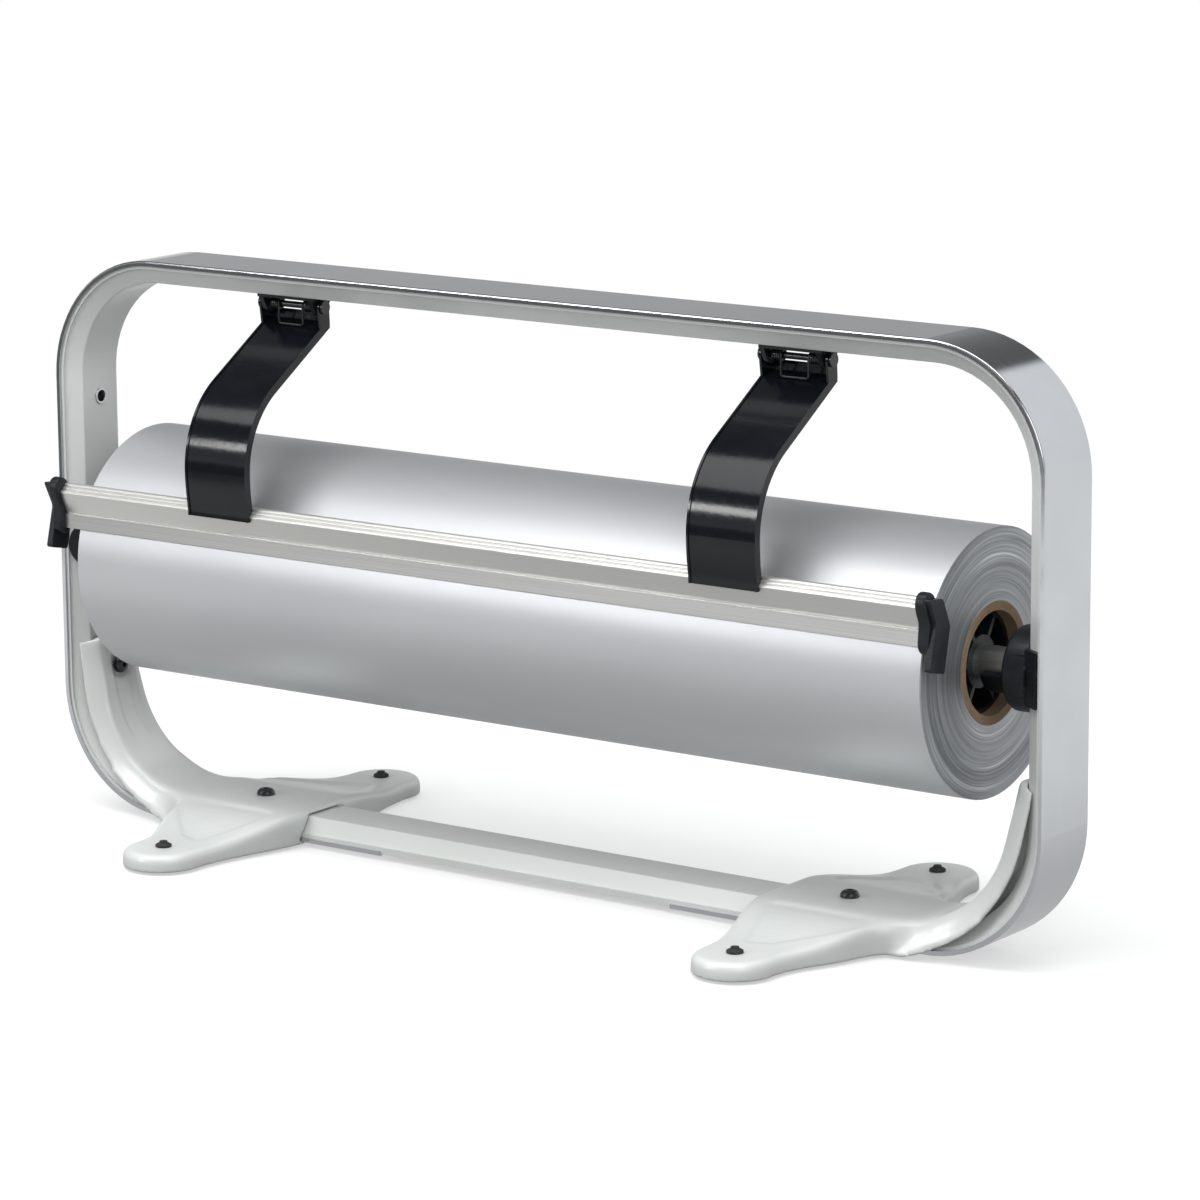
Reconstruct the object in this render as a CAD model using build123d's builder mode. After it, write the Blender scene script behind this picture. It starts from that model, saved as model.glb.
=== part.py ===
"""Table-top cutter for rolls of gift wrap: a hoop frame on two pressed feet, a roll of
wrap on a lift-out rod, and a spring-loaded cutting bar on two S-shaped levers.

Millimetres. X runs along the roll, +X to the operator's right. Y runs from the operator
(-Y) to the rear (+Y). Z is up. The origin is on the table under the middle of the frame.
Left pieces are mirror images of right pieces about the plane X = 0.
"""
from build123d import *
from math import atan2, cos, degrees, radians, sin, sqrt, tan
import os

# ---- roll of wrap that the cutter is made for -------------------------------------------
ROLL_LENGTH = 500.0
ROLL_RADIUS = 63.2
ROLL_X = 3.0                # the roll sits this far to the right of the middle
ROLL_EDGE = 0.5
CORE_OUTER = 28.8
CORE_BORE = 24.5

# ---- hoop frame -------------------------------------------------------------------------
HOOP_SPARE = 87.0           # the hoop is this much wider than the roll is long
HOOP_HEIGHT = 287.2
HOOP_RADIUS = 63.4
HOOP_LIFT = 2.6             # table to the underside of the bottom bar
STRIP_WIDTH = 41.0
STRIP_THICKNESS = 0.9
STRIP_LEG = 2.5             # depth of the strip's turned-in edges
STRIP_GAP_HALF = 88.0       # the strip is open under the middle of the bottom bar
PROFILE_DEPTH = 12.0        # from the strip's outer face to the inner flat
PROFILE_LIP = 4.2
PROFILE_LIP_HALF = 19.3
PROFILE_SHOULDER_HALF = 18.0
PROFILE_FLAT_HALF = 13.0
PROFILE_WALL = 1.6
PROFILE_ROUND = 1.2
FIT = 0.3                   # gap between pieces that are fitted over one another

# ---- eyelets in the uprights ------------------------------------------------------------
EYELET_DROP = 12.4          # below the upper corner's bend
EYELET_BORE = 2.9
EYELET_RING = 4.2
EYELET_FLANGE = 0.8
EYELET_LENGTH = 6.0
EYELET_SLEEVE = 3.5

# ---- feet -------------------------------------------------------------------------------
FOOT_CLEARANCE = 1.6        # table to the skirt
FOOT_WALL = 2.2
FOOT_TOP = 17.8             # saddle over the bottom bar
LOBE_TOP = 10.1
SADDLE_HALF = 22.0
SADDLE_FLAT = 16.0          # half width of the level top over the bar
LOBE_IN = 59.0              # inboard of the bend in the frame's lower corner, as all "_IN" here
LOBE_Y = 87.3
LOBE_RADIUS = 20.3
SLOPE_FOOT_Y = 76.0         # where the saddle's slope reaches the flat lobe
FOOT_INNER_IN = 92.6
FOOT_HIP_IN = 26.1
FOOT_HIP_HALF = 50.0
FOOT_WAIST_IN = 18.1
FOOT_WAIST_HALF = 30.0
FOOT_OUTER_OUT = 13.9
FOOT_OUTER_HALF = 20.0
FOOT_EDGE_ROUND = 4.0
PANEL_DEPTH = 1.1           # pressed-in panel on each wing of the foot
PANEL_SPLAY = 25.0          # its walls open upwards, degrees
PANEL_CORNER = 2.5
PANEL_OUTLINE = (           # inboard of the bend in the frame's lower corner, and half width
    (77.0, 27.5),
    (16.0, 27.5),
    (26.0, 33.5),
    (38.5, 48.5),
    (53.0, 65.0),
    (65.5, 70.0),
)
ARM_START_IN = 25.1
ARM_BEND_IN = 12.1
ARM_BEND_TIGHTER = 11.4     # the arm's bend is this much tighter than the frame's
ARM_LEAN = 12.0             # degrees off upright
ARM_REACH = 24.6            # from the end of the frame's bend up to the arm's top
ARM_ROOT_HALF = 22.0
ARM_TIP_HALF = 12.0
ARM_ROOT_FLARE = 7.0        # how much wider the section gets over its depth
ARM_TIP_FLARE = 11.0
ARM_SECTION_DEPTH = 20.0
ARM_EDGE_IN = 8.1           # where the arm's side edge leaves the skirt
ARM_EDGE_DEPTH = 10.35      # from the frame's outer face to the side edge, half way round
ARM_EDGE_ANGLE = 52.35      # degrees below level, seen from the middle of the frame's bend
ARM_EDGE_KNEE = 7.0         # the side edge crosses the upright's face this far below the bend's end
ARM_EDGE_SINK = 6.7         # and runs this far into the upright's depth

# ---- screws and rubber feet -------------------------------------------------------------
SCREW_IN = 53.1
SCREW_HEAD = 4.6
SCREW_HEAD_HEIGHT = 3.2
SCREW_RIM = 0.8
SCREW_SOCKET = 1.5
SCREW_SHANK = 2.0
SCREW_LENGTH = 7.0
SCREW_HOLE = 2.1
SCREW_BOSS = 6.5
ARM_SCREW_RISE = 8.0        # above the end of the frame's bend
ARM_SCREW_SEAT_IN = 8.1     # from the upright's face to the seat under the arm screw's head
PAD_RADIUS = 8.5
PAD_TOP = 3.2
PAD_CHAMFER = 0.6
PLUG_STEM = 2.4
PLUG_HOLE = 2.55
PLUG_HEAD = 4.0
PLUG_HEAD_HEIGHT = 2.2
PLUG_TIP = 2.0
PLUG_TIP_HEIGHT = 0.6

# ---- rod, hubs and bearings -------------------------------------------------------------
ROD_Y = 3.0
ROD_DROP = 138.9            # from the top bar down to the rod's axis
ROD_RADIUS = 8.2
ROD_WALL = 1.6
ROD_SHORT = 13.8            # from the rod's end to the upright's face
HUB_PLAY = 0.05
HUB_RECESS = 6.7
HUB_LENGTH = 22.0
HUB_RIM = 2.0
HUB_SLEEVE = 12.4
HUB_WEB = 2.5
HUB_SPOKES = 6
HUB_SPOKE = 2.2
RUNNING_FIT = 0.05
CLIP_Z_HALF = 13.0
CLIP_WALL = 2.2
CLIP_SHY = 0.4              # the clip ends this far short of the profile's shoulder
FLANGE_RADIUS = 20.0
FLANGE_STAND = 7.9          # from the upright's face to the flange
FLANGE_THICKNESS = 5.6
FLANGE_ROUND = 2.0
NECK_RADIUS = 12.0
TROUGH_RADIUS = 13.0
TROUGH_GAP = 0.4            # the trough stops this short of the roll
TROUGH_FRONT = 192.0        # the trough holds the rod between these angles, from level rear
TROUGH_REAR = 320.0

# ---- cutter -----------------------------------------------------------------------------
PIVOT_Y = -3.2
PIVOT_DROP = 5.4            # from the top bar down to the hinge pin
PIN_RADIUS = 1.6
PIN_HEAD = 3.4
PIN_CAP = 1.2
SPRING_WIRE = 0.6
SPRING_COIL = 2.5           # radius of the coils' middle line
SPRING_HALF = 7.6
SPRING_LEG = 9.6
SPRING_BEND = 1.5
SPRING_COIL_LENGTH = 6.6
SPRING_COIL_WALL = 1.5      # the wound part, as a sleeve
LEVER_X = 149.65            # middle of the right lever
LEVER_WIDTH = 38.0
LEVER_WALL = 1.9
LEVER_PLATE = 1.7
LEVER_SIDE = 4.2            # depth of the turned-back sides
LEVER_INSET = 0.5           # the face lies this much behind its side lips
LEVER_LIP = 1.2
LEVER_HEAD_BACK = 2.5       # the face's upper end, behind the pin
LEVER_HEAD_DROP = 7.0       # and below it
LEVER_BEND_RADIUS = 49.0
LEVER_BELLY_PROUD = 6.85    # the bend ends this far in front of the roll
LEVER_BELLY_RISE = 58.09    # and this far above the rod's axis
LEVER_BELLY_RADIUS = 110.0
LEVER_BELLY_ANGLE = 9.4
LEVER_HEEL_RADIUS = 20.0
LEVER_END_RISE = 35.1
EAR_RADIUS = 4.1
EAR_ROOT = 3.5              # how far down the face the ear runs out
BRACKET_PLAY = 0.4          # between the bracket's ears and the lever's
BRACKET_PLATE = 1.4
BRACKET_EAR = 2.4
BRACKET_FRONT = 12.5
BRACKET_REAR = 8.8
BRACKET_CORNER = 2.0
BRACKET_EAR_RADIUS = 4.4
BAR_SPARE = 0.4             # the bar runs this far past the roll's right end, and as far to the left
BAR_GAP = 0.3               # cutting bar to roll
BAR_BOTTOM_RISE = 19.1      # heights above the rod's axis
BAR_STEP_RISE = 26.3
BAR_NOSE_RISE = 37.5
BAR_TOP_RISE = 41.7
BAR_NOSE_PROUD = 3.7        # in front of the roll
EDGE_PROUD = 0.8
BAR_TOP_SHY = 0.2           # behind the roll's foremost line
BAR_STEP_SHY = 0.8
BAR_REAR_SHY = 2.4
BAR_WAIST_SHY = 3.3
BAR_RIDGE = 0.45
BAR_HEEL = 1.0              # the bar's back edge stops short of the tear edge
EDGE_THICKNESS = 0.8
CAP_RIM = 2.0
CAP_RECESS = 2.2
CAP_CORNER = 1.5
CAP_LENGTH = 8.5
CAP_FIT = 0.1               # bar's end to cap, and peg to its hole
CAP_TAIL = 4.0              # thickness of the cap's foot, below the bar
PEG_RADIUS = 1.3
PEG_LENGTH = 9.0
PEG_Y = 0.5                 # in front of the roll
PEG_RISE = 33.0             # above the rod's axis
CAP_OUTLINE = (             # the chevron plate's corners: behind the roll's front, above the rod
    (-6.8, 42.5),
    (4.7, 41.3),
    (10.9, 28.2),
    (6.2, 6.5),
    (-6.0, 9.2),
    (-0.8, 29.7),
)

# ---- worked out from the above ----------------------------------------------------------
HOOP_HALF = (ROLL_LENGTH + HOOP_SPARE) / 2
HOOP_TOP = HOOP_LIFT + HOOP_HEIGHT
CORNER_X = HOOP_HALF - HOOP_RADIUS
CORNER_LOW = HOOP_LIFT + HOOP_RADIUS
CORNER_HIGH = HOOP_TOP - HOOP_RADIUS
UPRIGHT_FACE = HOOP_HALF - PROFILE_DEPTH
BAR_TOP_FACE = HOOP_LIFT + PROFILE_DEPTH
TOP_BAR_FACE = HOOP_TOP - PROFILE_DEPTH
EYELET_Z = CORNER_HIGH - EYELET_DROP

FOOT_INNER_X = CORNER_X - FOOT_INNER_IN
FOOT_HIP_X = CORNER_X - FOOT_HIP_IN
FOOT_WAIST_X = CORNER_X - FOOT_WAIST_IN
FOOT_OUTER_X = CORNER_X + FOOT_OUTER_OUT
LOBE_X = CORNER_X - LOBE_IN
SCREW_X = CORNER_X - SCREW_IN
ARM_START_X = CORNER_X - ARM_START_IN
ARM_BEND_X = CORNER_X - ARM_BEND_IN
ARM_BEND_RADIUS = HOOP_RADIUS - ARM_BEND_TIGHTER
ARM_TOP = CORNER_LOW + ARM_REACH
ARM_SCREW_Z = CORNER_LOW + ARM_SCREW_RISE
ARM_SCREW_SEAT = UPRIGHT_FACE - ARM_SCREW_SEAT_IN

ROLL_END = ROLL_X + ROLL_LENGTH / 2
ROLL_FRONT = ROD_Y - ROLL_RADIUS
ROD_Z = TOP_BAR_FACE - ROD_DROP
ROD_HALF = UPRIGHT_FACE - ROD_SHORT
HUB_RADIUS = CORE_BORE - HUB_PLAY
FLANGE_OUT = UPRIGHT_FACE - FLANGE_STAND
FLANGE_IN = FLANGE_OUT - FLANGE_THICKNESS
TROUGH_IN = ROLL_END + TROUGH_GAP

BAR_HALF = ROLL_END + BAR_SPARE
BAR_BOTTOM = ROD_Z + BAR_BOTTOM_RISE
BAR_STEP_Z = ROD_Z + BAR_STEP_RISE
BAR_NOSE_Z = ROD_Z + BAR_NOSE_RISE
BAR_TOP = ROD_Z + BAR_TOP_RISE
BAR_NOSE_Y = ROLL_FRONT - BAR_NOSE_PROUD
BAR_TOP_FRONT_Y = ROLL_FRONT + BAR_TOP_SHY
BAR_STEP_Y = ROLL_FRONT + BAR_STEP_SHY
BAR_TOP_REAR_Y = ROLL_FRONT + BAR_REAR_SHY
BAR_WAIST_Y = ROLL_FRONT + BAR_WAIST_SHY
EDGE_FRONT_Y = ROLL_FRONT - EDGE_PROUD
CAP_IN = BAR_HALF + CAP_FIT
CAP_OUT = CAP_IN + CAP_LENGTH
PEG_AXIS = (ROLL_FRONT - PEG_Y, ROD_Z + PEG_RISE)

PIVOT_Z = TOP_BAR_FACE - PIVOT_DROP
LEVER_HEAD = (PIVOT_Y + LEVER_HEAD_BACK, PIVOT_Z - LEVER_HEAD_DROP)
LEVER_END_Z = ROD_Z + LEVER_END_RISE
# the straight run is the tangent from the head to the bend's circle
BEND_FORWARD = LEVER_HEAD[0] - ROLL_FRONT + LEVER_BELLY_PROUD - LEVER_BEND_RADIUS
BEND_BELOW = LEVER_HEAD[1] - ROD_Z - LEVER_BELLY_RISE
BRACKET_WIDTH = LEVER_WIDTH - 2 * (LEVER_WALL + BRACKET_PLAY)
BRACKET_DEPTH = BRACKET_FRONT + BRACKET_REAR
BRACKET_Y = (BRACKET_REAR - BRACKET_FRONT) / 2
SPRING_Y = PIVOT_Y - SPRING_COIL
LEVER_SHOULDER = sqrt(BEND_FORWARD**2 + BEND_BELOW**2 - LEVER_BEND_RADIUS**2)
LEVER_SLOPE = degrees(atan2(BEND_BELOW, BEND_FORWARD) - atan2(LEVER_BEND_RADIUS, LEVER_SHOULDER))

SEATED = (Align.CENTER, Align.CENTER, Align.MIN)
HUNG = (Align.CENTER, Align.CENTER, Align.MAX)

os.makedirs("parts", exist_ok=True)


def write(piece, label):
    piece.part.label = label
    export_step(piece.part, f"parts/{label}.step")


# ---- hoop -------------------------------------------------------------------------------
def hoop_path(start_x):
    """Right half of the hoop's outer face, from the bottom bar up and over to X = 0."""
    with BuildLine(Plane.XZ) as path:
        Line((start_x, HOOP_LIFT), (CORNER_X, HOOP_LIFT))
        JernArc((CORNER_X, HOOP_LIFT), (1, 0), HOOP_RADIUS, 90)
        Line((HOOP_HALF, CORNER_LOW), (HOOP_HALF, CORNER_HIGH))
        JernArc((HOOP_HALF, CORNER_HIGH), (0, 1), HOOP_RADIUS, 90)
        Line((CORNER_X, HOOP_TOP), (0, HOOP_TOP))
    return path.wire()


def section_plane(start_x):
    """Across the hoop at the path's start: local x is Y, local y is depth into the hoop."""
    return Plane(origin=(start_x, 0, HOOP_LIFT), x_dir=(0, 1, 0), z_dir=(1, 0, 0))


def profile_outline(base_depth):
    """Half of the painted profile's outline from the middle of its back to its inner flat."""
    return [
        (0, base_depth),
        (PROFILE_LIP_HALF, base_depth),
        (PROFILE_LIP_HALF, PROFILE_LIP),
        (PROFILE_SHOULDER_HALF, PROFILE_LIP),
        (PROFILE_FLAT_HALF, PROFILE_DEPTH),
        (0, PROFILE_DEPTH),
    ]


def hoop_section(clearance=0.0):
    """Outline of strip and profile together, grown by a clearance, for what fits round them."""
    with BuildSketch(section_plane(FOOT_INNER_X - SADDLE_HALF), mode=Mode.PRIVATE) as section:
        with BuildLine():
            Polyline(
                (0, 0),
                (STRIP_WIDTH / 2, 0),
                (STRIP_WIDTH / 2, STRIP_LEG),
                (PROFILE_LIP_HALF, STRIP_LEG),
                *profile_outline(0)[2:],
            )
            mirror(about=Plane.YZ)
        make_face()
        offset(amount=clearance, kind=Kind.INTERSECTION)
    return section.sketch


with BuildPart() as frame_profile:
    with BuildSketch(section_plane(0)) as profile_section:
        with BuildLine():
            Polyline(*profile_outline(STRIP_THICKNESS))
            mirror(about=Plane.YZ)
        make_face()
        fillet(profile_section.vertices().group_by(Axis.Y)[-1], PROFILE_ROUND)
        offset(amount=-PROFILE_WALL, mode=Mode.SUBTRACT)
    sweep(path=hoop_path(0))
    with Locations(Location((UPRIGHT_FACE, 0, EYELET_Z), (0, 90, 0))):
        Cylinder(EYELET_SLEEVE, 4 * PROFILE_WALL, mode=Mode.SUBTRACT)
    with Locations(Location((UPRIGHT_FACE, 0, ARM_SCREW_Z), (0, 90, 0))):
        Cylinder(SCREW_HOLE, 4 * PROFILE_WALL, mode=Mode.SUBTRACT)
    with Locations((SCREW_X, 0, BAR_TOP_FACE)):
        Cylinder(SCREW_HOLE, 4 * PROFILE_WALL, mode=Mode.SUBTRACT)
    mirror(about=Plane.YZ)
write(frame_profile, "frame_profile")

with BuildPart() as chrome_strip:
    with BuildSketch(section_plane(STRIP_GAP_HALF)) as strip_section:
        Rectangle(STRIP_WIDTH, STRIP_LEG, align=(Align.CENTER, Align.MIN))
        fillet(strip_section.vertices().group_by(Axis.Y)[0], STRIP_THICKNESS)
        with Locations((0, STRIP_THICKNESS)):
            Rectangle(
                STRIP_WIDTH - 2 * STRIP_THICKNESS,
                STRIP_LEG,
                align=(Align.CENTER, Align.MIN),
                mode=Mode.SUBTRACT,
            )
    sweep(path=hoop_path(STRIP_GAP_HALF))
    mirror(about=Plane.YZ)
write(chrome_strip, "chrome_strip")

with BuildPart() as eyelets:
    with Locations(Location((UPRIGHT_FACE, 0, EYELET_Z), (0, 90, 0))):
        Cylinder(EYELET_SLEEVE - 0.1, EYELET_LENGTH, align=(Align.CENTER, Align.CENTER, Align.MIN))
        Cylinder(EYELET_RING, EYELET_FLANGE, align=(Align.CENTER, Align.CENTER, Align.MAX))
        Cylinder(EYELET_BORE, 3 * EYELET_LENGTH, mode=Mode.SUBTRACT)
    fillet(eyelets.faces().sort_by(Axis.X)[0].edges(), EYELET_FLANGE / 2)
    mirror(about=Plane.YZ)
write(eyelets, "eyelets")


# ---- feet -------------------------------------------------------------------------------
def foot_plan(inset):
    """Plan of the right foot, with its walls moved in by an inset."""
    radius = LOBE_RADIUS - inset
    slant = inset / sqrt(2)
    with BuildSketch(mode=Mode.PRIVATE) as plan:
        with BuildLine():
            saddle = Line((FOOT_INNER_X + inset, 0), (FOOT_INNER_X + inset, -SADDLE_HALF))
            lobe = ThreePointArc(
                (LOBE_X - radius, -LOBE_Y), (LOBE_X, -LOBE_Y - radius), (LOBE_X + radius, -LOBE_Y)
            )
            Spline(saddle @ 1, lobe @ 0, tangents=[(0.15, -1), (0, -1)])
            Spline(
                lobe @ 1,
                (FOOT_HIP_X - inset, -FOOT_HIP_HALF),
                (FOOT_WAIST_X - slant, slant - FOOT_WAIST_HALF),
                (FOOT_OUTER_X, inset - FOOT_OUTER_HALF),
                tangents=[(0, 1), (1, 0)],
            )
            Line((FOOT_OUTER_X, inset - FOOT_OUTER_HALF), (FOOT_OUTER_X, 0))
            mirror(about=Plane.XZ)
        make_face()
    return plan.sketch


def foot_base(inset, edge_round=0.0):
    """The low part of the foot: flat lobes that slope up to the saddle over the bar."""
    with BuildPart(mode=Mode.PRIVATE) as base:
        add(foot_plan(inset))
        extrude(amount=2 * FOOT_TOP)
        with BuildSketch(Plane.YZ):
            with BuildLine():
                top = Line((0, FOOT_TOP - inset), (-SADDLE_FLAT, FOOT_TOP - inset))
                lobe = Line((-SLOPE_FOOT_Y, LOBE_TOP - inset), (-2 * LOBE_Y, LOBE_TOP - inset))
                Spline(top @ 1, lobe @ 0, tangents=[(-1, 0), (-1, 0)])
                Polyline(
                    lobe @ 1,
                    (-2 * LOBE_Y, FOOT_CLEARANCE - inset),
                    (0, FOOT_CLEARANCE - inset),
                    top @ 0,
                )
            make_face()
        extrude(amount=2 * HOOP_HALF, mode=Mode.INTERSECT)
        if edge_round:
            fillet(
                base.edges()
                .filter_by(Axis.X, reverse=True)
                .filter_by(Axis.Z, reverse=True)
                .filter_by(lambda edge: edge.center().Z > LOBE_TOP - 1)
                .filter_by(lambda edge: edge.center().X < FOOT_OUTER_X - 1)
                .filter_by(lambda edge: edge.center().Y < -1),
                edge_round,
            )
        mirror(about=Plane.XZ)
    return base


def foot_panel():
    """What is pressed out of the top of the front wing: a shallow, splayed pocket."""
    with BuildPart(mode=Mode.PRIVATE) as panel:
        with BuildSketch(Plane.XY.offset(LOBE_TOP - PANEL_DEPTH)) as outline:
            with BuildLine():
                Polyline(*[(CORNER_X - x, -y) for x, y in PANEL_OUTLINE], close=True)
            make_face()
            fillet(outline.vertices(), PANEL_CORNER)
        extrude(amount=FOOT_TOP, taper=-PANEL_SPLAY)
        with BuildSketch(Plane.YZ):
            with BuildLine():
                top = Line((0, FOOT_TOP - PANEL_DEPTH), (-SADDLE_FLAT, FOOT_TOP - PANEL_DEPTH))
                lobe = Line(
                    (-SLOPE_FOOT_Y, LOBE_TOP - PANEL_DEPTH), (-2 * LOBE_Y, LOBE_TOP - PANEL_DEPTH)
                )
                Spline(top @ 1, lobe @ 0, tangents=[(-1, 0), (-1, 0)])
                Polyline(lobe @ 1, (-2 * LOBE_Y, 2 * FOOT_TOP), (0, 2 * FOOT_TOP), top @ 0)
            make_face()
        extrude(amount=2 * HOOP_HALF, mode=Mode.INTERSECT)
    return panel


def foot_arm(inset):
    """The arm that follows the frame's corner up the inside of the upright."""
    crest = FOOT_TOP - inset
    lean = radians(ARM_LEAN)
    bend = ARM_BEND_RADIUS + inset
    knee = (ARM_BEND_X + bend * cos(lean), crest + bend * (1 - sin(lean)))
    tip_z = ARM_TOP - inset
    with BuildLine(Plane.XZ) as path:
        Line((ARM_START_X, crest), (ARM_BEND_X, crest))
        JernArc((ARM_BEND_X, crest), (1, 0), bend, 90 - ARM_LEAN)
        Line(knee, (knee[0] + (tip_z - knee[1]) * tan(lean), tip_z))
    with BuildPart(mode=Mode.PRIVATE) as arm:
        for plane, half, flare in (
            (Plane(path.wire() @ 0, x_dir=(0, 1, 0), z_dir=path.wire() % 0), ARM_ROOT_HALF, ARM_ROOT_FLARE),
            (Plane(path.wire() @ 1, x_dir=(0, 1, 0), z_dir=path.wire() % 1), ARM_TIP_HALF, ARM_TIP_FLARE),
        ):
            with BuildSketch(plane):
                with BuildLine():
                    Polyline(
                        (half - inset, 0),
                        (half - inset + flare, -ARM_SECTION_DEPTH),
                        (inset - half - flare, -ARM_SECTION_DEPTH),
                        (inset - half, 0),
                        close=True,
                    )
                make_face()
        sweep(path=path.wire(), multisection=True)
    return arm


with BuildPart() as hoop_envelope:
    add(hoop_section(FIT))
    sweep(path=hoop_path(FOOT_INNER_X - SADDLE_HALF))


with BuildPart() as foot_right:
    add(foot_base(0, FOOT_EDGE_ROUND))
    add(foot_arm(0))
    with BuildSketch(Plane.XZ):
        with BuildLine():
            edge = ThreePointArc(
                (CORNER_X - ARM_EDGE_IN, FOOT_CLEARANCE),
                (
                    CORNER_X + (HOOP_RADIUS - ARM_EDGE_DEPTH) * cos(radians(ARM_EDGE_ANGLE)),
                    CORNER_LOW - (HOOP_RADIUS - ARM_EDGE_DEPTH) * sin(radians(ARM_EDGE_ANGLE)),
                ),
                (UPRIGHT_FACE, CORNER_LOW - ARM_EDGE_KNEE),
            )
            Polyline(
                edge @ 1,
                (UPRIGHT_FACE + ARM_EDGE_SINK, ARM_TOP + FOOT_WALL),
                (FOOT_INNER_X, ARM_TOP + FOOT_WALL),
                (FOOT_INNER_X, FOOT_CLEARANCE),
                edge @ 0,
            )
        make_face()
    extrude(amount=2 * LOBE_Y, both=True, mode=Mode.INTERSECT)
    add(foot_base(FOOT_WALL), mode=Mode.SUBTRACT)
    add(foot_arm(FOOT_WALL), mode=Mode.SUBTRACT)
    add(hoop_envelope, mode=Mode.SUBTRACT)
    add(foot_panel(), mode=Mode.SUBTRACT)
    add(mirror(foot_panel().part, about=Plane.XZ, mode=Mode.PRIVATE), mode=Mode.SUBTRACT)
    with Locations((SCREW_X, 0, BAR_TOP_FACE)):
        Cylinder(SCREW_BOSS, FOOT_TOP - FOOT_WALL / 2 - BAR_TOP_FACE, align=SEATED)
    with Locations(Location((UPRIGHT_FACE, 0, ARM_SCREW_Z), (0, -90, 0))):
        Cylinder(SCREW_BOSS, UPRIGHT_FACE - ARM_SCREW_SEAT, align=SEATED)
    with Locations(Location((ARM_SCREW_SEAT, 0, ARM_SCREW_Z), (0, -90, 0))):
        Cylinder(SCREW_BOSS, SCREW_BOSS, align=SEATED, mode=Mode.SUBTRACT)
        Cylinder(SCREW_HOLE, 2 * SCREW_LENGTH, align=HUNG, mode=Mode.SUBTRACT)
    with Locations((SCREW_X, 0, FOOT_TOP)):
        Cylinder(SCREW_HOLE, 2 * SCREW_LENGTH, mode=Mode.SUBTRACT)
    with Locations((LOBE_X, LOBE_Y, PAD_TOP), (LOBE_X, -LOBE_Y, PAD_TOP)):
        Cylinder(PAD_RADIUS, LOBE_TOP - FOOT_WALL / 2 - PAD_TOP, align=SEATED)
        Cylinder(PLUG_HOLE, 2 * LOBE_TOP, mode=Mode.SUBTRACT)
write(foot_right, "foot_right")

with BuildPart() as foot_left:
    add(mirror(foot_right.part, about=Plane.YZ, mode=Mode.PRIVATE))
write(foot_left, "foot_left")


def button_head_screw(location):
    """Screw with a domed hex head that stands on the location, its shank below."""
    with BuildPart(mode=Mode.PRIVATE) as screw:
        with BuildSketch(Plane.XZ):
            with BuildLine():
                rim = Line((0, 0), (SCREW_HEAD, 0))
                side = Line(rim @ 1, (SCREW_HEAD, SCREW_RIM))
                crown = Line((SCREW_SOCKET + 0.6, SCREW_HEAD_HEIGHT), (0, SCREW_HEAD_HEIGHT))
                TangentArc(crown @ 0, side @ 1, tangent=(1, 0))
                Line((0, SCREW_HEAD_HEIGHT), (0, 0))
            make_face()
        revolve(axis=Axis.Z)
        with Locations((0, 0, 0)):
            Cylinder(SCREW_SHANK, SCREW_LENGTH, align=HUNG)
        with BuildSketch(Plane.XY.offset(SCREW_HEAD_HEIGHT)):
            RegularPolygon(SCREW_SOCKET, 6)
        extrude(amount=-SCREW_HEAD_HEIGHT / 2, mode=Mode.SUBTRACT)
    return screw.part.moved(location)


with BuildPart() as foot_screws:
    add(button_head_screw(Location((SCREW_X, 0, FOOT_TOP))))
    add(button_head_screw(Location((ARM_SCREW_SEAT, 0, ARM_SCREW_Z), (0, -90, 0))))
    mirror(about=Plane.YZ)
write(foot_screws, "foot_screws")

with BuildPart() as rubber_feet:
    with BuildSketch(Plane.XZ.offset(LOBE_Y)):
        with BuildLine():
            Polyline(
                (LOBE_X, 0),
                (LOBE_X + PAD_RADIUS, 0),
                (LOBE_X + PAD_RADIUS, PAD_TOP),
                (LOBE_X + PLUG_STEM, PAD_TOP),
                (LOBE_X + PLUG_STEM, LOBE_TOP),
                (LOBE_X + PLUG_HEAD, LOBE_TOP),
                (LOBE_X + PLUG_HEAD, LOBE_TOP + PLUG_HEAD_HEIGHT / 2),
                (LOBE_X + PLUG_TIP, LOBE_TOP + PLUG_HEAD_HEIGHT),
                (LOBE_X + PLUG_TIP, LOBE_TOP + PLUG_HEAD_HEIGHT + PLUG_TIP_HEIGHT),
                (LOBE_X, LOBE_TOP + PLUG_HEAD_HEIGHT + PLUG_TIP_HEIGHT),
                close=True,
            )
        make_face()
    revolve(axis=Axis((LOBE_X, -LOBE_Y, 0), (0, 0, 1)))
    chamfer(rubber_feet.edges().group_by(Axis.Z)[0], PAD_CHAMFER)
    mirror(about=Plane.XZ)
    mirror(about=Plane.YZ)
write(rubber_feet, "rubber_feet")


# ---- bearings and rod -------------------------------------------------------------------
def upright_plan():
    """The inboard side of the right upright in plan, from its shoulder to its flat."""
    with BuildSketch(mode=Mode.PRIVATE) as plan:
        with BuildLine():
            Polyline(
                (HOOP_HALF - PROFILE_LIP, 0),
                *[(HOOP_HALF - depth, half) for half, depth in profile_outline(0)[3:]],
            )
            mirror(about=Plane.XZ)
        make_face()
    return plan.sketch


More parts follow.
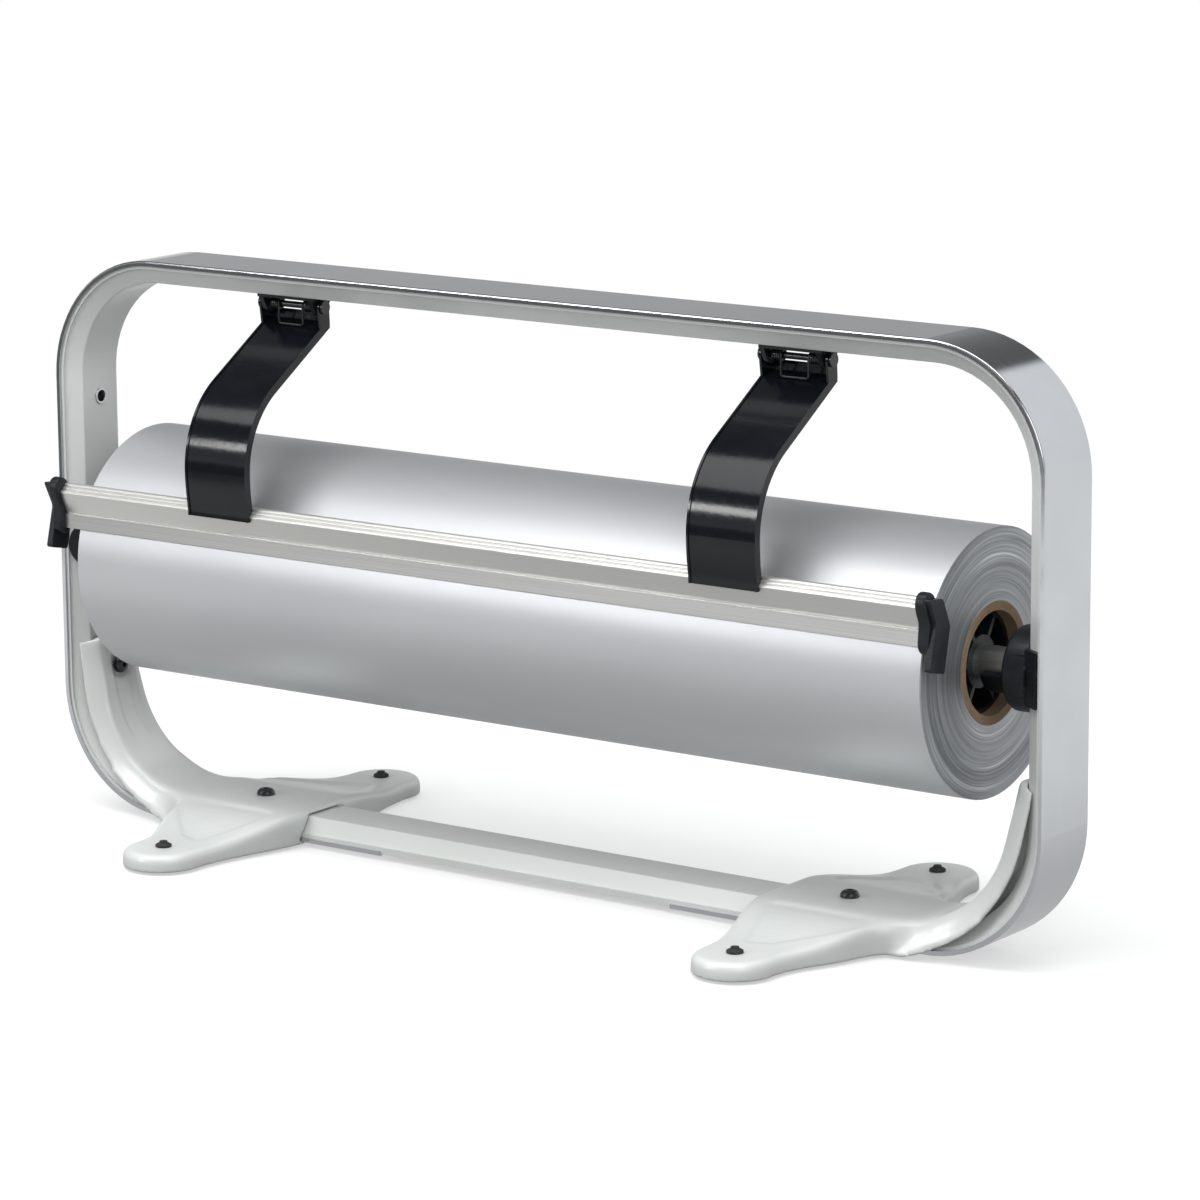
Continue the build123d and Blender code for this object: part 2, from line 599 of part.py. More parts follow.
with BuildPart() as bearing_right:
    with BuildSketch(Plane.XY.offset(ROD_Z - CLIP_Z_HALF)):
        add(upright_plan())
        offset(amount=CLIP_WALL, kind=Kind.INTERSECTION)
        add(upright_plan(), mode=Mode.SUBTRACT)
        with Locations((HOOP_HALF - PROFILE_LIP - CLIP_SHY, 0)):
            Rectangle(
                CLIP_WALL * 3, STRIP_WIDTH * 2, align=(Align.MIN, Align.CENTER), mode=Mode.SUBTRACT
            )
    extrude(amount=2 * CLIP_Z_HALF)
    chamfer(bearing_right.edges().filter_by(Axis.Y).group_by(Axis.X)[0], CLIP_WALL / 3)
    with Locations(Location((FLANGE_OUT, 0, ROD_Z), (0, 90, 0))):
        with Locations((0, ROD_Y)):
            Cylinder(NECK_RADIUS, UPRIGHT_FACE - CLIP_WALL - FLANGE_OUT, align=SEATED)
    with BuildSketch(Plane.YZ.offset(FLANGE_IN)):
        with Locations((ROD_Y, ROD_Z)):
            Circle(FLANGE_RADIUS)
    extrude(amount=FLANGE_OUT - FLANGE_IN)
    fillet(
        bearing_right.edges().filter_by(GeomType.CIRCLE).filter_by(
            lambda edge: abs(edge.radius - FLANGE_RADIUS) < 0.1
        ),
        FLANGE_ROUND,
    )
    with BuildSketch(Plane.YZ.offset(TROUGH_IN)):
        with Locations((ROD_Y, ROD_Z)):
            Circle(TROUGH_RADIUS)
            Circle(ROD_RADIUS + FIT, mode=Mode.SUBTRACT)
        with BuildLine():
            Polyline(
                (ROD_Y, ROD_Z),
                *[
                    (
                        ROD_Y + 2 * TROUGH_RADIUS * cos(radians(angle)),
                        ROD_Z + 2 * TROUGH_RADIUS * sin(radians(angle)),
                    )
                    for angle in (TROUGH_FRONT, (TROUGH_FRONT + TROUGH_REAR) / 2, TROUGH_REAR)
                ],
                close=True,
            )
        make_face(mode=Mode.INTERSECT)
    extrude(amount=FLANGE_IN - TROUGH_IN)
write(bearing_right, "bearing_right")

with BuildPart() as bearing_left:
    add(mirror(bearing_right.part, about=Plane.YZ, mode=Mode.PRIVATE))
write(bearing_left, "bearing_left")

with BuildPart() as rod:
    with BuildSketch(Plane.YZ):
        with Locations((ROD_Y, ROD_Z)):
            Circle(ROD_RADIUS)
            Circle(ROD_RADIUS - ROD_WALL, mode=Mode.SUBTRACT)
    extrude(amount=ROD_HALF, both=True)
    chamfer(rod.edges().filter_by(GeomType.CIRCLE), ROD_WALL / 4)
write(rod, "rod")


# ---- roll -------------------------------------------------------------------------------
def tube(radius, bore, length, chamfer_size=0.0):
    """Tube on the rod's axis, centred on the middle of the roll."""
    with BuildPart(mode=Mode.PRIVATE) as result:
        with BuildSketch(Plane.YZ.offset(ROLL_X)):
            with Locations((ROD_Y, ROD_Z)):
                Circle(radius)
                Circle(bore, mode=Mode.SUBTRACT)
        extrude(amount=length / 2, both=True)
        if chamfer_size:
            chamfer(result.edges().filter_by(GeomType.CIRCLE).group_by(SortBy.RADIUS)[-1], chamfer_size)
    return result.part


with BuildPart() as paper_roll:
    add(tube(ROLL_RADIUS, CORE_OUTER, ROLL_LENGTH, ROLL_EDGE))
write(paper_roll, "paper_roll")

with BuildPart() as core:
    add(tube(CORE_OUTER, CORE_BORE, ROLL_LENGTH))
write(core, "core")

HUB_OUT = ROLL_END - HUB_RECESS
with BuildPart() as hub_right:
    with BuildSketch(Plane.YZ.offset(HUB_OUT)):
        with Locations((ROD_Y, ROD_Z)):
            Circle(HUB_RADIUS)
            Circle(HUB_RADIUS - HUB_RIM, mode=Mode.SUBTRACT)
            Circle(HUB_SLEEVE)
            with PolarLocations(0, HUB_SPOKES):
                Rectangle(HUB_RADIUS - HUB_RIM / 2, HUB_SPOKE, align=(Align.MIN, Align.CENTER))
            Circle(ROD_RADIUS + RUNNING_FIT, mode=Mode.SUBTRACT)
    extrude(amount=-HUB_LENGTH)
    with BuildSketch(Plane.YZ.offset(HUB_OUT - HUB_LENGTH)):
        with Locations((ROD_Y, ROD_Z)):
            Circle(HUB_RADIUS)
            Circle(ROD_RADIUS + RUNNING_FIT, mode=Mode.SUBTRACT)
    extrude(amount=HUB_WEB)
write(hub_right, "hub_right")

with BuildPart() as hub_left:
    add(mirror(hub_right.part, about=Plane.YZ.offset(ROLL_X), mode=Mode.PRIVATE))
write(hub_left, "hub_left")


# ---- cutter -----------------------------------------------------------------------------
def roll_face_y(height, gap):
    """Y of the roll's front face at a height, kept off it by a gap."""
    return ROD_Y - sqrt((ROLL_RADIUS + gap) ** 2 - (height - ROD_Z) ** 2)


def bar_profile(clearance=0.0):
    """Section of the cutting bar on the YZ plane, grown by a clearance."""
    with BuildSketch(Plane.YZ, mode=Mode.PRIVATE) as section:
        with BuildLine():
            Polyline(
                (BAR_TOP_FRONT_Y, BAR_TOP),
                (BAR_NOSE_Y, BAR_NOSE_Z),
                (BAR_STEP_Y, BAR_STEP_Z),
                (EDGE_FRONT_Y, BAR_STEP_Z),
                (EDGE_FRONT_Y, BAR_BOTTOM),
                (roll_face_y(BAR_BOTTOM, BAR_GAP), BAR_BOTTOM),
                (BAR_WAIST_Y, BAR_STEP_Z),
                (BAR_TOP_REAR_Y, BAR_TOP),
                close=True,
            )
        make_face()
        if clearance:
            offset(amount=clearance, kind=Kind.INTERSECTION)
    return section.sketch


def lever_line(depth):
    """Side view of the lever at a depth behind its face: straight run, bend, belly, heel."""
    slope = radians(LEVER_SLOPE)
    head = (LEVER_HEAD[0] + depth * sin(slope), LEVER_HEAD[1] - depth * cos(slope))
    shoulder = (head[0] - LEVER_SHOULDER * cos(slope), head[1] - LEVER_SHOULDER * sin(slope))
    run = Line(head, shoulder)
    bend = JernArc(run @ 1, run % 1, LEVER_BEND_RADIUS - depth, 90 - LEVER_SLOPE)
    belly = JernArc(bend @ 1, bend % 1, LEVER_BELLY_RADIUS - depth, LEVER_BELLY_ANGLE)
    heel = JernArc(belly @ 1, belly % 1, LEVER_HEEL_RADIUS + depth, -LEVER_BELLY_ANGLE)
    end = Line(heel @ 1, ((heel @ 1).X, LEVER_END_Z))
    return run @ 0, end @ 1


def lever_band(near, far):
    """Side view of the lever's thickness between two depths behind its face."""
    with BuildSketch(Plane.YZ, mode=Mode.PRIVATE) as band:
        with BuildLine():
            near_head, near_end = lever_line(near)
            far_head, far_end = lever_line(far)
            Line(near_head, far_head)
            Line(near_end, far_end)
        make_face()
    return band.sketch


with BuildPart() as lever_right:
    extrude(lever_band(0, LEVER_SIDE), amount=LEVER_WIDTH / 2, both=True)
    with BuildSketch(Plane.YZ):
        with Locations((PIVOT_Y, PIVOT_Z)):
            Circle(EAR_RADIUS)
        with Locations(
            (
                LEVER_HEAD[0] - EAR_ROOT * cos(radians(LEVER_SLOPE)),
                LEVER_HEAD[1] - EAR_ROOT * sin(radians(LEVER_SLOPE)) - LEVER_SIDE / 2,
            )
        ):
            Circle(LEVER_SIDE / 2)
        with Locations((LEVER_HEAD[0], LEVER_HEAD[1] - LEVER_SIDE / 2)):
            Circle(LEVER_SIDE / 2)
        make_hull()
    extrude(amount=LEVER_WIDTH / 2, both=True)
    # open between the side walls, above and behind the plate
    with BuildSketch(Plane.YZ):
        with BuildLine():
            back_head, back_end = lever_line(LEVER_PLATE)
            Polyline(back_head, (LEVER_SIDE, LEVER_HEAD[1] - LEVER_SIDE), (LEVER_SIDE, LEVER_END_Z), back_end)
        make_face()
    extrude(amount=LEVER_WIDTH / 2 - LEVER_WALL, both=True, mode=Mode.SUBTRACT)
    with BuildSketch(Plane.YZ):
        with BuildLine():
            face_head, face_end = lever_line(LEVER_INSET)
            Polyline(
                face_head,
                (LEVER_HEAD[0] + LEVER_SIDE, PIVOT_Z + EAR_RADIUS),
                (face_end.X - LEVER_SIDE, PIVOT_Z + EAR_RADIUS),
                (face_end.X - LEVER_SIDE, LEVER_END_Z),
                face_end,
            )
        make_face()
    extrude(amount=LEVER_WIDTH / 2 - LEVER_LIP, both=True, mode=Mode.SUBTRACT)
    with BuildSketch(Plane.YZ):
        with Locations((PIVOT_Y, PIVOT_Z)):
            Circle(PIN_RADIUS + RUNNING_FIT)
    extrude(amount=LEVER_WIDTH, both=True, mode=Mode.SUBTRACT)
    extrude(bar_profile(0.1), amount=LEVER_WIDTH, both=True, mode=Mode.SUBTRACT)
lever_right.part = lever_right.part.moved(Location((LEVER_X, 0, 0)))
write(lever_right, "lever_right")

with BuildPart() as lever_left:
    add(mirror(lever_right.part, about=Plane.YZ, mode=Mode.PRIVATE))
write(lever_left, "lever_left")

with BuildPart() as cutting_bar:
    extrude(bar_profile(), amount=BAR_HALF, both=True)
    with BuildSketch(Plane.YZ):
        with Locations(((EDGE_FRONT_Y + EDGE_THICKNESS), BAR_STEP_Z)):
            Rectangle(
                3 * EDGE_THICKNESS,
                2 * (BAR_STEP_Z - BAR_BOTTOM),
                align=(Align.MAX, Align.MAX),
            )
        with Locations((EDGE_FRONT_Y, BAR_BOTTOM)):
            Rectangle(2 * STRIP_WIDTH, 2 * BAR_HEEL, mode=Mode.ADD)
    extrude(amount=2 * BAR_HALF, both=True, mode=Mode.SUBTRACT)
    with BuildSketch(Plane.YZ):
        with Locations(
            *[
                (
                    BAR_TOP_FRONT_Y + (BAR_NOSE_Y - BAR_TOP_FRONT_Y) * share,
                    BAR_TOP + (BAR_NOSE_Z - BAR_TOP) * share,
                )
                for share in (0.25, 0.5, 0.75)
            ]
        ):
            Circle(BAR_RIDGE)
    extrude(amount=2 * BAR_HALF, both=True, mode=Mode.SUBTRACT)
    for side in (1, -1):
        with BuildSketch(Plane.YZ.offset(side * BAR_HALF)):
            with Locations(PEG_AXIS):
                Circle(PEG_RADIUS + CAP_FIT)
        extrude(amount=-side * (PEG_LENGTH + CAP_FIT), mode=Mode.SUBTRACT)
write(cutting_bar, "cutting_bar")

with BuildPart() as tear_edge:
    with BuildSketch(Plane.YZ):
        with Locations((EDGE_FRONT_Y, BAR_BOTTOM)):
            Rectangle(EDGE_THICKNESS, BAR_STEP_Z - BAR_BOTTOM, align=(Align.MIN, Align.MIN))
    extrude(amount=BAR_HALF, both=True)
write(tear_edge, "tear_edge")

with BuildPart() as end_cap_right:
    with BuildSketch(Plane.YZ.offset(CAP_IN)) as plate:
        with BuildLine():
            Polyline(*[(ROLL_FRONT + y, ROD_Z + z) for y, z in CAP_OUTLINE], close=True)
        make_face()
        fillet(plate.vertices(), CAP_CORNER)
    extrude(amount=CAP_LENGTH)
    # the foot below the bar is only a plate
    with BuildSketch(Plane.YZ.offset(CAP_IN)):
        with Locations((ROLL_FRONT, BAR_BOTTOM - CAP_RIM)):
            Rectangle(STRIP_WIDTH, STRIP_WIDTH, align=(Align.CENTER, Align.MAX))
    extrude(amount=CAP_LENGTH - CAP_TAIL, mode=Mode.SUBTRACT)
    with BuildSketch(Plane.YZ.offset(CAP_OUT)):
        add(plate.sketch)
        offset(amount=-CAP_RIM, mode=Mode.REPLACE)
        with Locations((BAR_NOSE_Y, BAR_BOTTOM)):
            Rectangle(STRIP_WIDTH, CAP_RIM * 2, mode=Mode.SUBTRACT)
    extrude(amount=-CAP_RECESS, mode=Mode.SUBTRACT)
    with BuildSketch(Plane.YZ.offset(CAP_IN)):
        with Locations(PEG_AXIS):
            Circle(PEG_RADIUS)
    extrude(amount=-PEG_LENGTH)
write(end_cap_right, "end_cap_right")

with BuildPart() as end_cap_left:
    add(mirror(end_cap_right.part, about=Plane.YZ, mode=Mode.PRIVATE))
write(end_cap_left, "end_cap_left")


# ---- hinge ------------------------------------------------------------------------------
with BuildPart() as bracket_right:
    with BuildSketch(Plane.XY.offset(TOP_BAR_FACE)):
        with Locations((LEVER_X, BRACKET_Y)):
            RectangleRounded(BRACKET_WIDTH, BRACKET_DEPTH, BRACKET_CORNER)
    extrude(amount=-BRACKET_PLATE)
    with BuildSketch(Plane.YZ.offset(LEVER_X)):
        with Locations((PIVOT_Y, PIVOT_Z)):
            Circle(BRACKET_EAR_RADIUS)
        with Locations((BRACKET_Y, TOP_BAR_FACE - BRACKET_PLATE)):
            Rectangle(
                BRACKET_DEPTH - 2 * BRACKET_CORNER, BRACKET_PLATE, align=(Align.CENTER, Align.MIN)
            )
        make_hull()
    extrude(amount=BRACKET_WIDTH / 2, both=True)
    with BuildSketch(Plane.YZ.offset(LEVER_X)):
        with Locations((BRACKET_Y, TOP_BAR_FACE - BRACKET_PLATE)):
            Rectangle(2 * BRACKET_DEPTH, BRACKET_DEPTH, align=(Align.CENTER, Align.MAX))
    extrude(amount=BRACKET_WIDTH / 2 - BRACKET_EAR, both=True, mode=Mode.SUBTRACT)
    with BuildSketch(Plane.YZ.offset(LEVER_X)):
        with Locations((PIVOT_Y, PIVOT_Z)):
            Circle(PIN_RADIUS + RUNNING_FIT)
    extrude(amount=BRACKET_WIDTH, both=True, mode=Mode.SUBTRACT)
write(bracket_right, "bracket_right")

with BuildPart() as bracket_left:
    add(mirror(bracket_right.part, about=Plane.YZ, mode=Mode.PRIVATE))
write(bracket_left, "bracket_left")

with BuildPart() as hinge_pins:
    with BuildSketch(Plane.YZ.offset(LEVER_X)):
        with Locations((PIVOT_Y, PIVOT_Z)):
            Circle(PIN_RADIUS)
    extrude(amount=LEVER_WIDTH / 2 + PIN_CAP, both=True)
    for side in (1, -1):
        with BuildSketch(Plane.YZ.offset(LEVER_X + side * LEVER_WIDTH / 2)):
            with Locations((PIVOT_Y, PIVOT_Z)):
                Circle(PIN_HEAD)
        extrude(amount=side * PIN_CAP)
    mirror(about=Plane.YZ)
write(hinge_pins, "hinge_pins")

with BuildPart() as spring_right:
    with BuildLine(Plane.XZ.offset(-SPRING_Y)) as wire:
        foot_z = PIVOT_Z - SPRING_LEG
        left_leg = Line((LEVER_X - SPRING_HALF, PIVOT_Z), (LEVER_X - SPRING_HALF, foot_z + SPRING_BEND))
        bend = JernArc(left_leg @ 1, (0, -1), SPRING_BEND, 90)
        cross = Line(bend @ 1, (LEVER_X + SPRING_HALF - SPRING_BEND, foot_z))
        turn = JernArc(cross @ 1, (1, 0), SPRING_BEND, 90)
        Line(turn @ 1, (LEVER_X + SPRING_HALF, PIVOT_Z))
    with BuildSketch(Plane(wire.wire() @ 0, z_dir=wire.wire() % 0)):
        Circle(SPRING_WIRE)
    sweep(path=wire.wire())
    for side in (1, -1):
        with BuildSketch(Plane.YZ.offset(LEVER_X + side * (SPRING_HALF - 2 * SPRING_WIRE))):
            with Locations((PIVOT_Y, PIVOT_Z)):
                Circle(SPRING_COIL + SPRING_COIL_WALL / 2)
                Circle(SPRING_COIL - SPRING_COIL_WALL / 2, mode=Mode.SUBTRACT)
        extrude(amount=side * SPRING_COIL_LENGTH)
write(spring_right, "spring_right")

with BuildPart() as spring_left:
    add(mirror(spring_right.part, about=Plane.YZ, mode=Mode.PRIVATE))
write(spring_left, "spring_left")
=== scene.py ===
"""Gift wrap cutter: hoop frame, silver roll and sprung cutting bar, dressed on its CAD frame."""

from math import cos, pi, radians, sin

import bmesh
import bpy
import numpy as np
from mathutils import Matrix, Vector

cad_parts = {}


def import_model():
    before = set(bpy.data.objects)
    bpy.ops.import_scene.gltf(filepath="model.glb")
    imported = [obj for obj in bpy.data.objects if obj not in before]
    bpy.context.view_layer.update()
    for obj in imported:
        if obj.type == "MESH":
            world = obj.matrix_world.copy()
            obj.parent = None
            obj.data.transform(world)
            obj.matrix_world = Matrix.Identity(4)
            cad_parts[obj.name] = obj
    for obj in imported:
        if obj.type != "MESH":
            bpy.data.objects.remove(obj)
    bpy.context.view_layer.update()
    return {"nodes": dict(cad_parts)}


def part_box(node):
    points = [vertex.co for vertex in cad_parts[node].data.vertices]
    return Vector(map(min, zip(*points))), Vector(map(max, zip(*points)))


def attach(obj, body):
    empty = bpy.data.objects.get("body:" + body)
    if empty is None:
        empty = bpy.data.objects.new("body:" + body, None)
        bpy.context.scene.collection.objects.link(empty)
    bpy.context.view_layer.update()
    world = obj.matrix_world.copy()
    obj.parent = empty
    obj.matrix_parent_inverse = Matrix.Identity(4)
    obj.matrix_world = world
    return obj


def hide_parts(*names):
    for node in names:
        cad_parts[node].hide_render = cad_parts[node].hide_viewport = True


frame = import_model()

MM = 0.001
# Roll axis in the row frame, metres, and the roll's foremost line
ROD_Y = 3.0 * MM
ROD_Z = 138.9 * MM
ROLL_FRONT = ROD_Y - 63.2 * MM
# Edges sharper than this stay hard
CREASE = radians(32)


# ---- node helpers -----------------------------------------------------------------------
class Wiring:
    """Short ways to add nodes to a tree and to wire them up."""

    def __init__(self, tree):
        self.tree = tree

    def node(self, kind, **settings):
        node = self.tree.nodes.new("ShaderNode" + kind)
        for name, value in settings.items():
            setattr(node, name, value)
        return node

    def link(self, output, target):
        self.tree.links.new(output, target)

    def put(self, value, entry):
        """A constant or another node's output into a socket."""
        if isinstance(value, bpy.types.NodeSocket):
            self.link(value, entry)
        else:
            entry.default_value = value

    def maths(self, operation, first, second=0.5):
        node = self.node("Math", operation=operation)
        self.put(first, node.inputs[0])
        self.put(second, node.inputs[1])
        return node.outputs[0]

    def times(self, first, second):
        return self.maths("MULTIPLY", first, second)

    def split(self, vector):
        node = self.node("SeparateXYZ")
        self.link(vector, node.inputs[0])
        return node.outputs["X"], node.outputs["Y"], node.outputs["Z"]

    def join(self, x, y, z):
        node = self.node("CombineXYZ")
        for value, entry in zip((x, y, z), node.inputs):
            self.put(value, entry)
        return node.outputs[0]

    def spread(self, value, source, target=(0.0, 1.0), interpolation="SMOOTHSTEP"):
        """The source range of a value, spread over the target range."""
        node = self.node("MapRange", interpolation_type=interpolation)
        node.inputs["From Min"].default_value, node.inputs["From Max"].default_value = source
        node.inputs["To Min"].default_value, node.inputs["To Max"].default_value = target
        self.link(value, node.inputs["Value"])
        return node.outputs["Result"]

    def ramp(self, value, stops):
        """Colours or grey levels spread over a 0 to 1 value."""
        node = self.node("ValToRGB")
        elements = node.color_ramp.elements
        while len(elements) < len(stops):
            elements.new(0.5)
        for element, (place, colour) in zip(elements, stops):
            element.position = place
            if isinstance(colour, (int, float)):
                colour = (colour, colour, colour)
            element.color = (*colour, 1.0)
        self.link(value, node.inputs["Fac"])
        return node.outputs["Color"]

    def mix(self, share, first, second):
        node = self.node("Mix", data_type="RGBA")
        self.put(share, node.inputs["Factor"])
        self.put(first, node.inputs["A"])
        self.put(second, node.inputs["B"])
        return node.outputs["Result"]

    def mix_shaders(self, share, first, second):
        node = self.node("MixShader")
        self.put(share, node.inputs["Fac"])
        self.link(first, node.inputs[1])
        self.link(second, node.inputs[2])
        return node.outputs[0]

    def shader(self, kind, colour=None, strength=None):
        node = self.node(kind)
        if colour is not None:
            self.put(colour, node.inputs["Color"])
        if strength is not None:
            self.put(strength, node.inputs["Strength"])
        return node.outputs[0]


# Noise lies mostly between these two values
NOISE_LOW, NOISE_HIGH = 0.3, 0.7


class Finish(Wiring):
    """A Principled material. Its plain colour is what a viewer without nodes shows."""

    def __init__(self, name, colour, metallic=0.0, roughness=0.5, **sockets):
        self.material = bpy.data.materials.new(name)
        self.material.use_nodes = True
        super().__init__(self.material.node_tree)
        self.principled = self.tree.nodes["Principled BSDF"]
        self.set("Base Color", (*colour, 1.0))
        self.set("Metallic", metallic)
        self.set("Roughness", roughness)
        for socket, value in sockets.items():
            self.set(socket.replace("_", " "), value)
        self.coordinates = self.node("TexCoord").outputs["Object"]

    def set(self, socket, value):
        self.put(value, self.principled.inputs[socket])

    def stretched(self, scale):
        """Object coordinates times a scale per axis."""
        node = self.node("Mapping")
        node.inputs["Scale"].default_value = scale
        self.link(self.coordinates, node.inputs["Vector"])
        return node.outputs["Vector"]

    def noise(self, vector, detail=2.0, roughness=0.5, distortion=0.0):
        node = self.node("TexNoise")
        node.inputs["Scale"].default_value = 1.0
        node.inputs["Detail"].default_value = detail
        node.inputs["Roughness"].default_value = roughness
        node.inputs["Distortion"].default_value = distortion
        self.link(vector, node.inputs["Vector"])
        return node.outputs["Fac"]

    def grain(self, scale, detail):
        """Noise with the same scale along every axis, in waves a metre."""
        return self.noise(self.stretched((scale, scale, scale)), detail)

    def tint(self, value, first, second, low=NOISE_LOW, high=NOISE_HIGH):
        self.set("Base Color", self.ramp(value, [(low, first), (high, second)]))

    def polish(self, value, first, second, low=NOISE_LOW, high=NOISE_HIGH):
        self.set("Roughness", self.ramp(value, [(low, first), (high, second)]))

    def bump(self, height, distance, strength=1.0):
        """Adds to the bump that the shader already has. The distance is in metres."""
        node = self.node("Bump")
        node.inputs["Distance"].default_value = distance
        node.inputs["Strength"].default_value = strength
        self.link(height, node.inputs["Height"])
        normal = self.principled.inputs["Normal"]
        if normal.is_linked:
            self.link(normal.links[0].from_socket, node.inputs["Normal"])
        self.set("Normal", node.outputs["Normal"])

    def rings(self, radial, around, **settings):
        """Noise in rings about the roll's axis, with a slow change round them."""
        _, y, z = self.split(self.coordinates)
        across = self.maths("SUBTRACT", y, ROD_Y)
        up = self.maths("SUBTRACT", z, ROD_Z)
        squares = self.maths("ADD", self.maths("POWER", across, 2.0), self.maths("POWER", up, 2.0))
        radius = self.maths("SQRT", squares)
        vector = self.join(
            self.times(radius, radial), self.times(across, around), self.times(up, around)
        )
        return self.noise(vector, **settings)

    def blend(self, first, second, share):
        """The first value's share, and the rest from the second."""
        return self.maths("ADD", self.times(first, share), self.times(second, 1 - share))

    def facing_x(self, low, high):
        """0 on surfaces along the roll, 1 on its end faces."""
        x, _, _ = self.split(self.node("NewGeometry").outputs["True Normal"])
        return self.spread(self.maths("ABSOLUTE", x, 0.0), (low, high), interpolation="LINEAR")


# ---- finishes ---------------------------------------------------------------------------
def painted():
    """Light silver-grey paint with a faint orange peel."""
    f = Finish(
        "painted", (0.68, 0.70, 0.68), metallic=0.05, roughness=0.36,
        Coat_Weight=0.25, Coat_Roughness=0.1,
    )
    f.tint(f.grain(14, 3), (0.665, 0.690, 0.668), (0.715, 0.732, 0.716))
    f.polish(f.grain(260, 4), 0.29, 0.40)
    f.bump(f.grain(620, 1), 0.00006, 0.5)
    f.bump(f.grain(3200, 2), 0.00001, 0.4)
    return f


def chrome():
    """Bright plated strip: slow waves from rolling and hair-fine polishing lines."""
    f = Finish("chrome", (0.60, 0.62, 0.65), metallic=1.0, roughness=0.1)
    f.tint(f.grain(30, 4), (0.585, 0.605, 0.632), (0.625, 0.645, 0.668))
    lines = f.noise(f.stretched((90, 1500, 90)), detail=3)
    f.polish(lines, 0.07, 0.16, low=0.35, high=0.75)
    f.bump(f.grain(9, 1), 0.0004, 0.15)
    return f


def zinc():
    """Plated eyelets."""
    f = Finish("zinc", (0.58, 0.60, 0.61), metallic=1.0, roughness=0.3)
    f.tint(f.grain(700, 3), (0.48, 0.50, 0.51), (0.64, 0.66, 0.67))
    f.bump(f.grain(2500, 2), 0.00003, 0.4)
    return f


def blackened_steel():
    """Blackened screws and hinge parts."""
    f = Finish(
        "black_steel", (0.022, 0.023, 0.026), metallic=0.55, roughness=0.34, Coat_Weight=0.3
    )
    f.tint(f.grain(900, 3), (0.014, 0.015, 0.018), (0.040, 0.042, 0.046), high=0.75)
    f.bump(f.grain(3000, 2), 0.00003, 0.35)
    return f


def rubber():
    """Matt black rubber with a rough skin."""
    f = Finish("rubber", (0.02, 0.021, 0.023), roughness=0.75)
    f.tint(f.grain(500, 4), (0.014, 0.015, 0.016), (0.032, 0.033, 0.035))
    f.bump(f.grain(2600, 3), 0.00006, 0.6)
    return f


def moulded_plastic():
    """Satin black plastic with the fine grain of the mould."""
    f = Finish("black_plastic", (0.010, 0.011, 0.014), roughness=0.42, IOR=1.36)
    f.tint(f.grain(120, 3), (0.008, 0.009, 0.012), (0.015, 0.017, 0.021))
    f.polish(f.grain(800, 3), 0.33, 0.47)
    f.bump(f.grain(3400, 2), 0.00004, 0.35)
    return f


def gloss_black():
    """Levers: gloss black coating that flows into a faint orange peel."""
    f = Finish("black_gloss", (0.004, 0.005, 0.007), roughness=0.2, IOR=1.4)
    f.tint(f.grain(60, 3), (0.003, 0.004, 0.006), (0.006, 0.007, 0.010))
    f.polish(f.grain(400, 3), 0.11, 0.16)
    f.bump(f.grain(420, 1), 0.00008, 0.25)
    return f


def tube_steel():
    """Rod: satin grey steel tube, drawn along its length."""
    f = Finish("rod_steel", (0.58, 0.60, 0.59), metallic=0.9, roughness=0.32)
    drawn = f.noise(f.stretched((25, 1600, 1600)), detail=3)
    f.tint(drawn, (0.50, 0.53, 0.52), (0.66, 0.68, 0.67))
    f.bump(drawn, 0.00003, 0.4)
    return f


def wrap():
    """Satin silver paper: metallic lacquer grain outside, wound edges on the end faces."""
    f = Finish("wrap", (0.61, 0.62, 0.64), metallic=0.70, roughness=0.42)
    ends = f.facing_x(0.35, 0.75)
    # outside
    grain = f.grain(2200, 2)
    cloud = f.noise(f.stretched((7, 26, 26)), detail=3)
    outside = f.ramp(cloud, [(0.25, (0.590, 0.602, 0.622)), (0.75, (0.640, 0.650, 0.665))])
    # end faces: hundreds of layers, some standing a little proud
    layers = f.rings(900.0, 14.0, detail=3, roughness=0.65, distortion=0.25)
    bands = f.rings(170.0, 9.0, detail=2, distortion=0.3)
    edges = f.blend(layers, bands, 0.62)
    wound = f.ramp(edges, [
        (0.33, (0.17, 0.18, 0.19)), (0.50, (0.31, 0.325, 0.34)),
        (0.60, (0.42, 0.435, 0.45)), (0.72, (0.72, 0.74, 0.76)),
    ])
    f.set("Base Color", f.mix(ends, outside, wound))
    f.polish(grain, 0.38, 0.46)
    flat = f.maths("SUBTRACT", 1.0, ends)
    waves = f.noise(f.stretched((11, 34, 34)), detail=1)
    f.bump(f.times(edges, ends), 0.0006, 0.8)
    f.bump(f.times(grain, flat), 0.00002, 0.5)
    f.bump(f.times(waves, flat), 0.0006, 0.18)
    return f


def board():
    """Brown wound board: layered end faces, smoother bore."""
    f = Finish("board", (0.31, 0.21, 0.13), roughness=0.82)
    layers = f.rings(1300.0, 40.0, detail=3, roughness=0.7)
    both = f.blend(layers, f.grain(700, 4), 0.6)
    f.set("Base Color", f.ramp(both, [
        (0.3, (0.205, 0.132, 0.078)), (0.55, (0.325, 0.222, 0.140)), (0.75, (0.43, 0.31, 0.20)),
    ]))
    f.bump(both, 0.0002, 0.6)
    return f


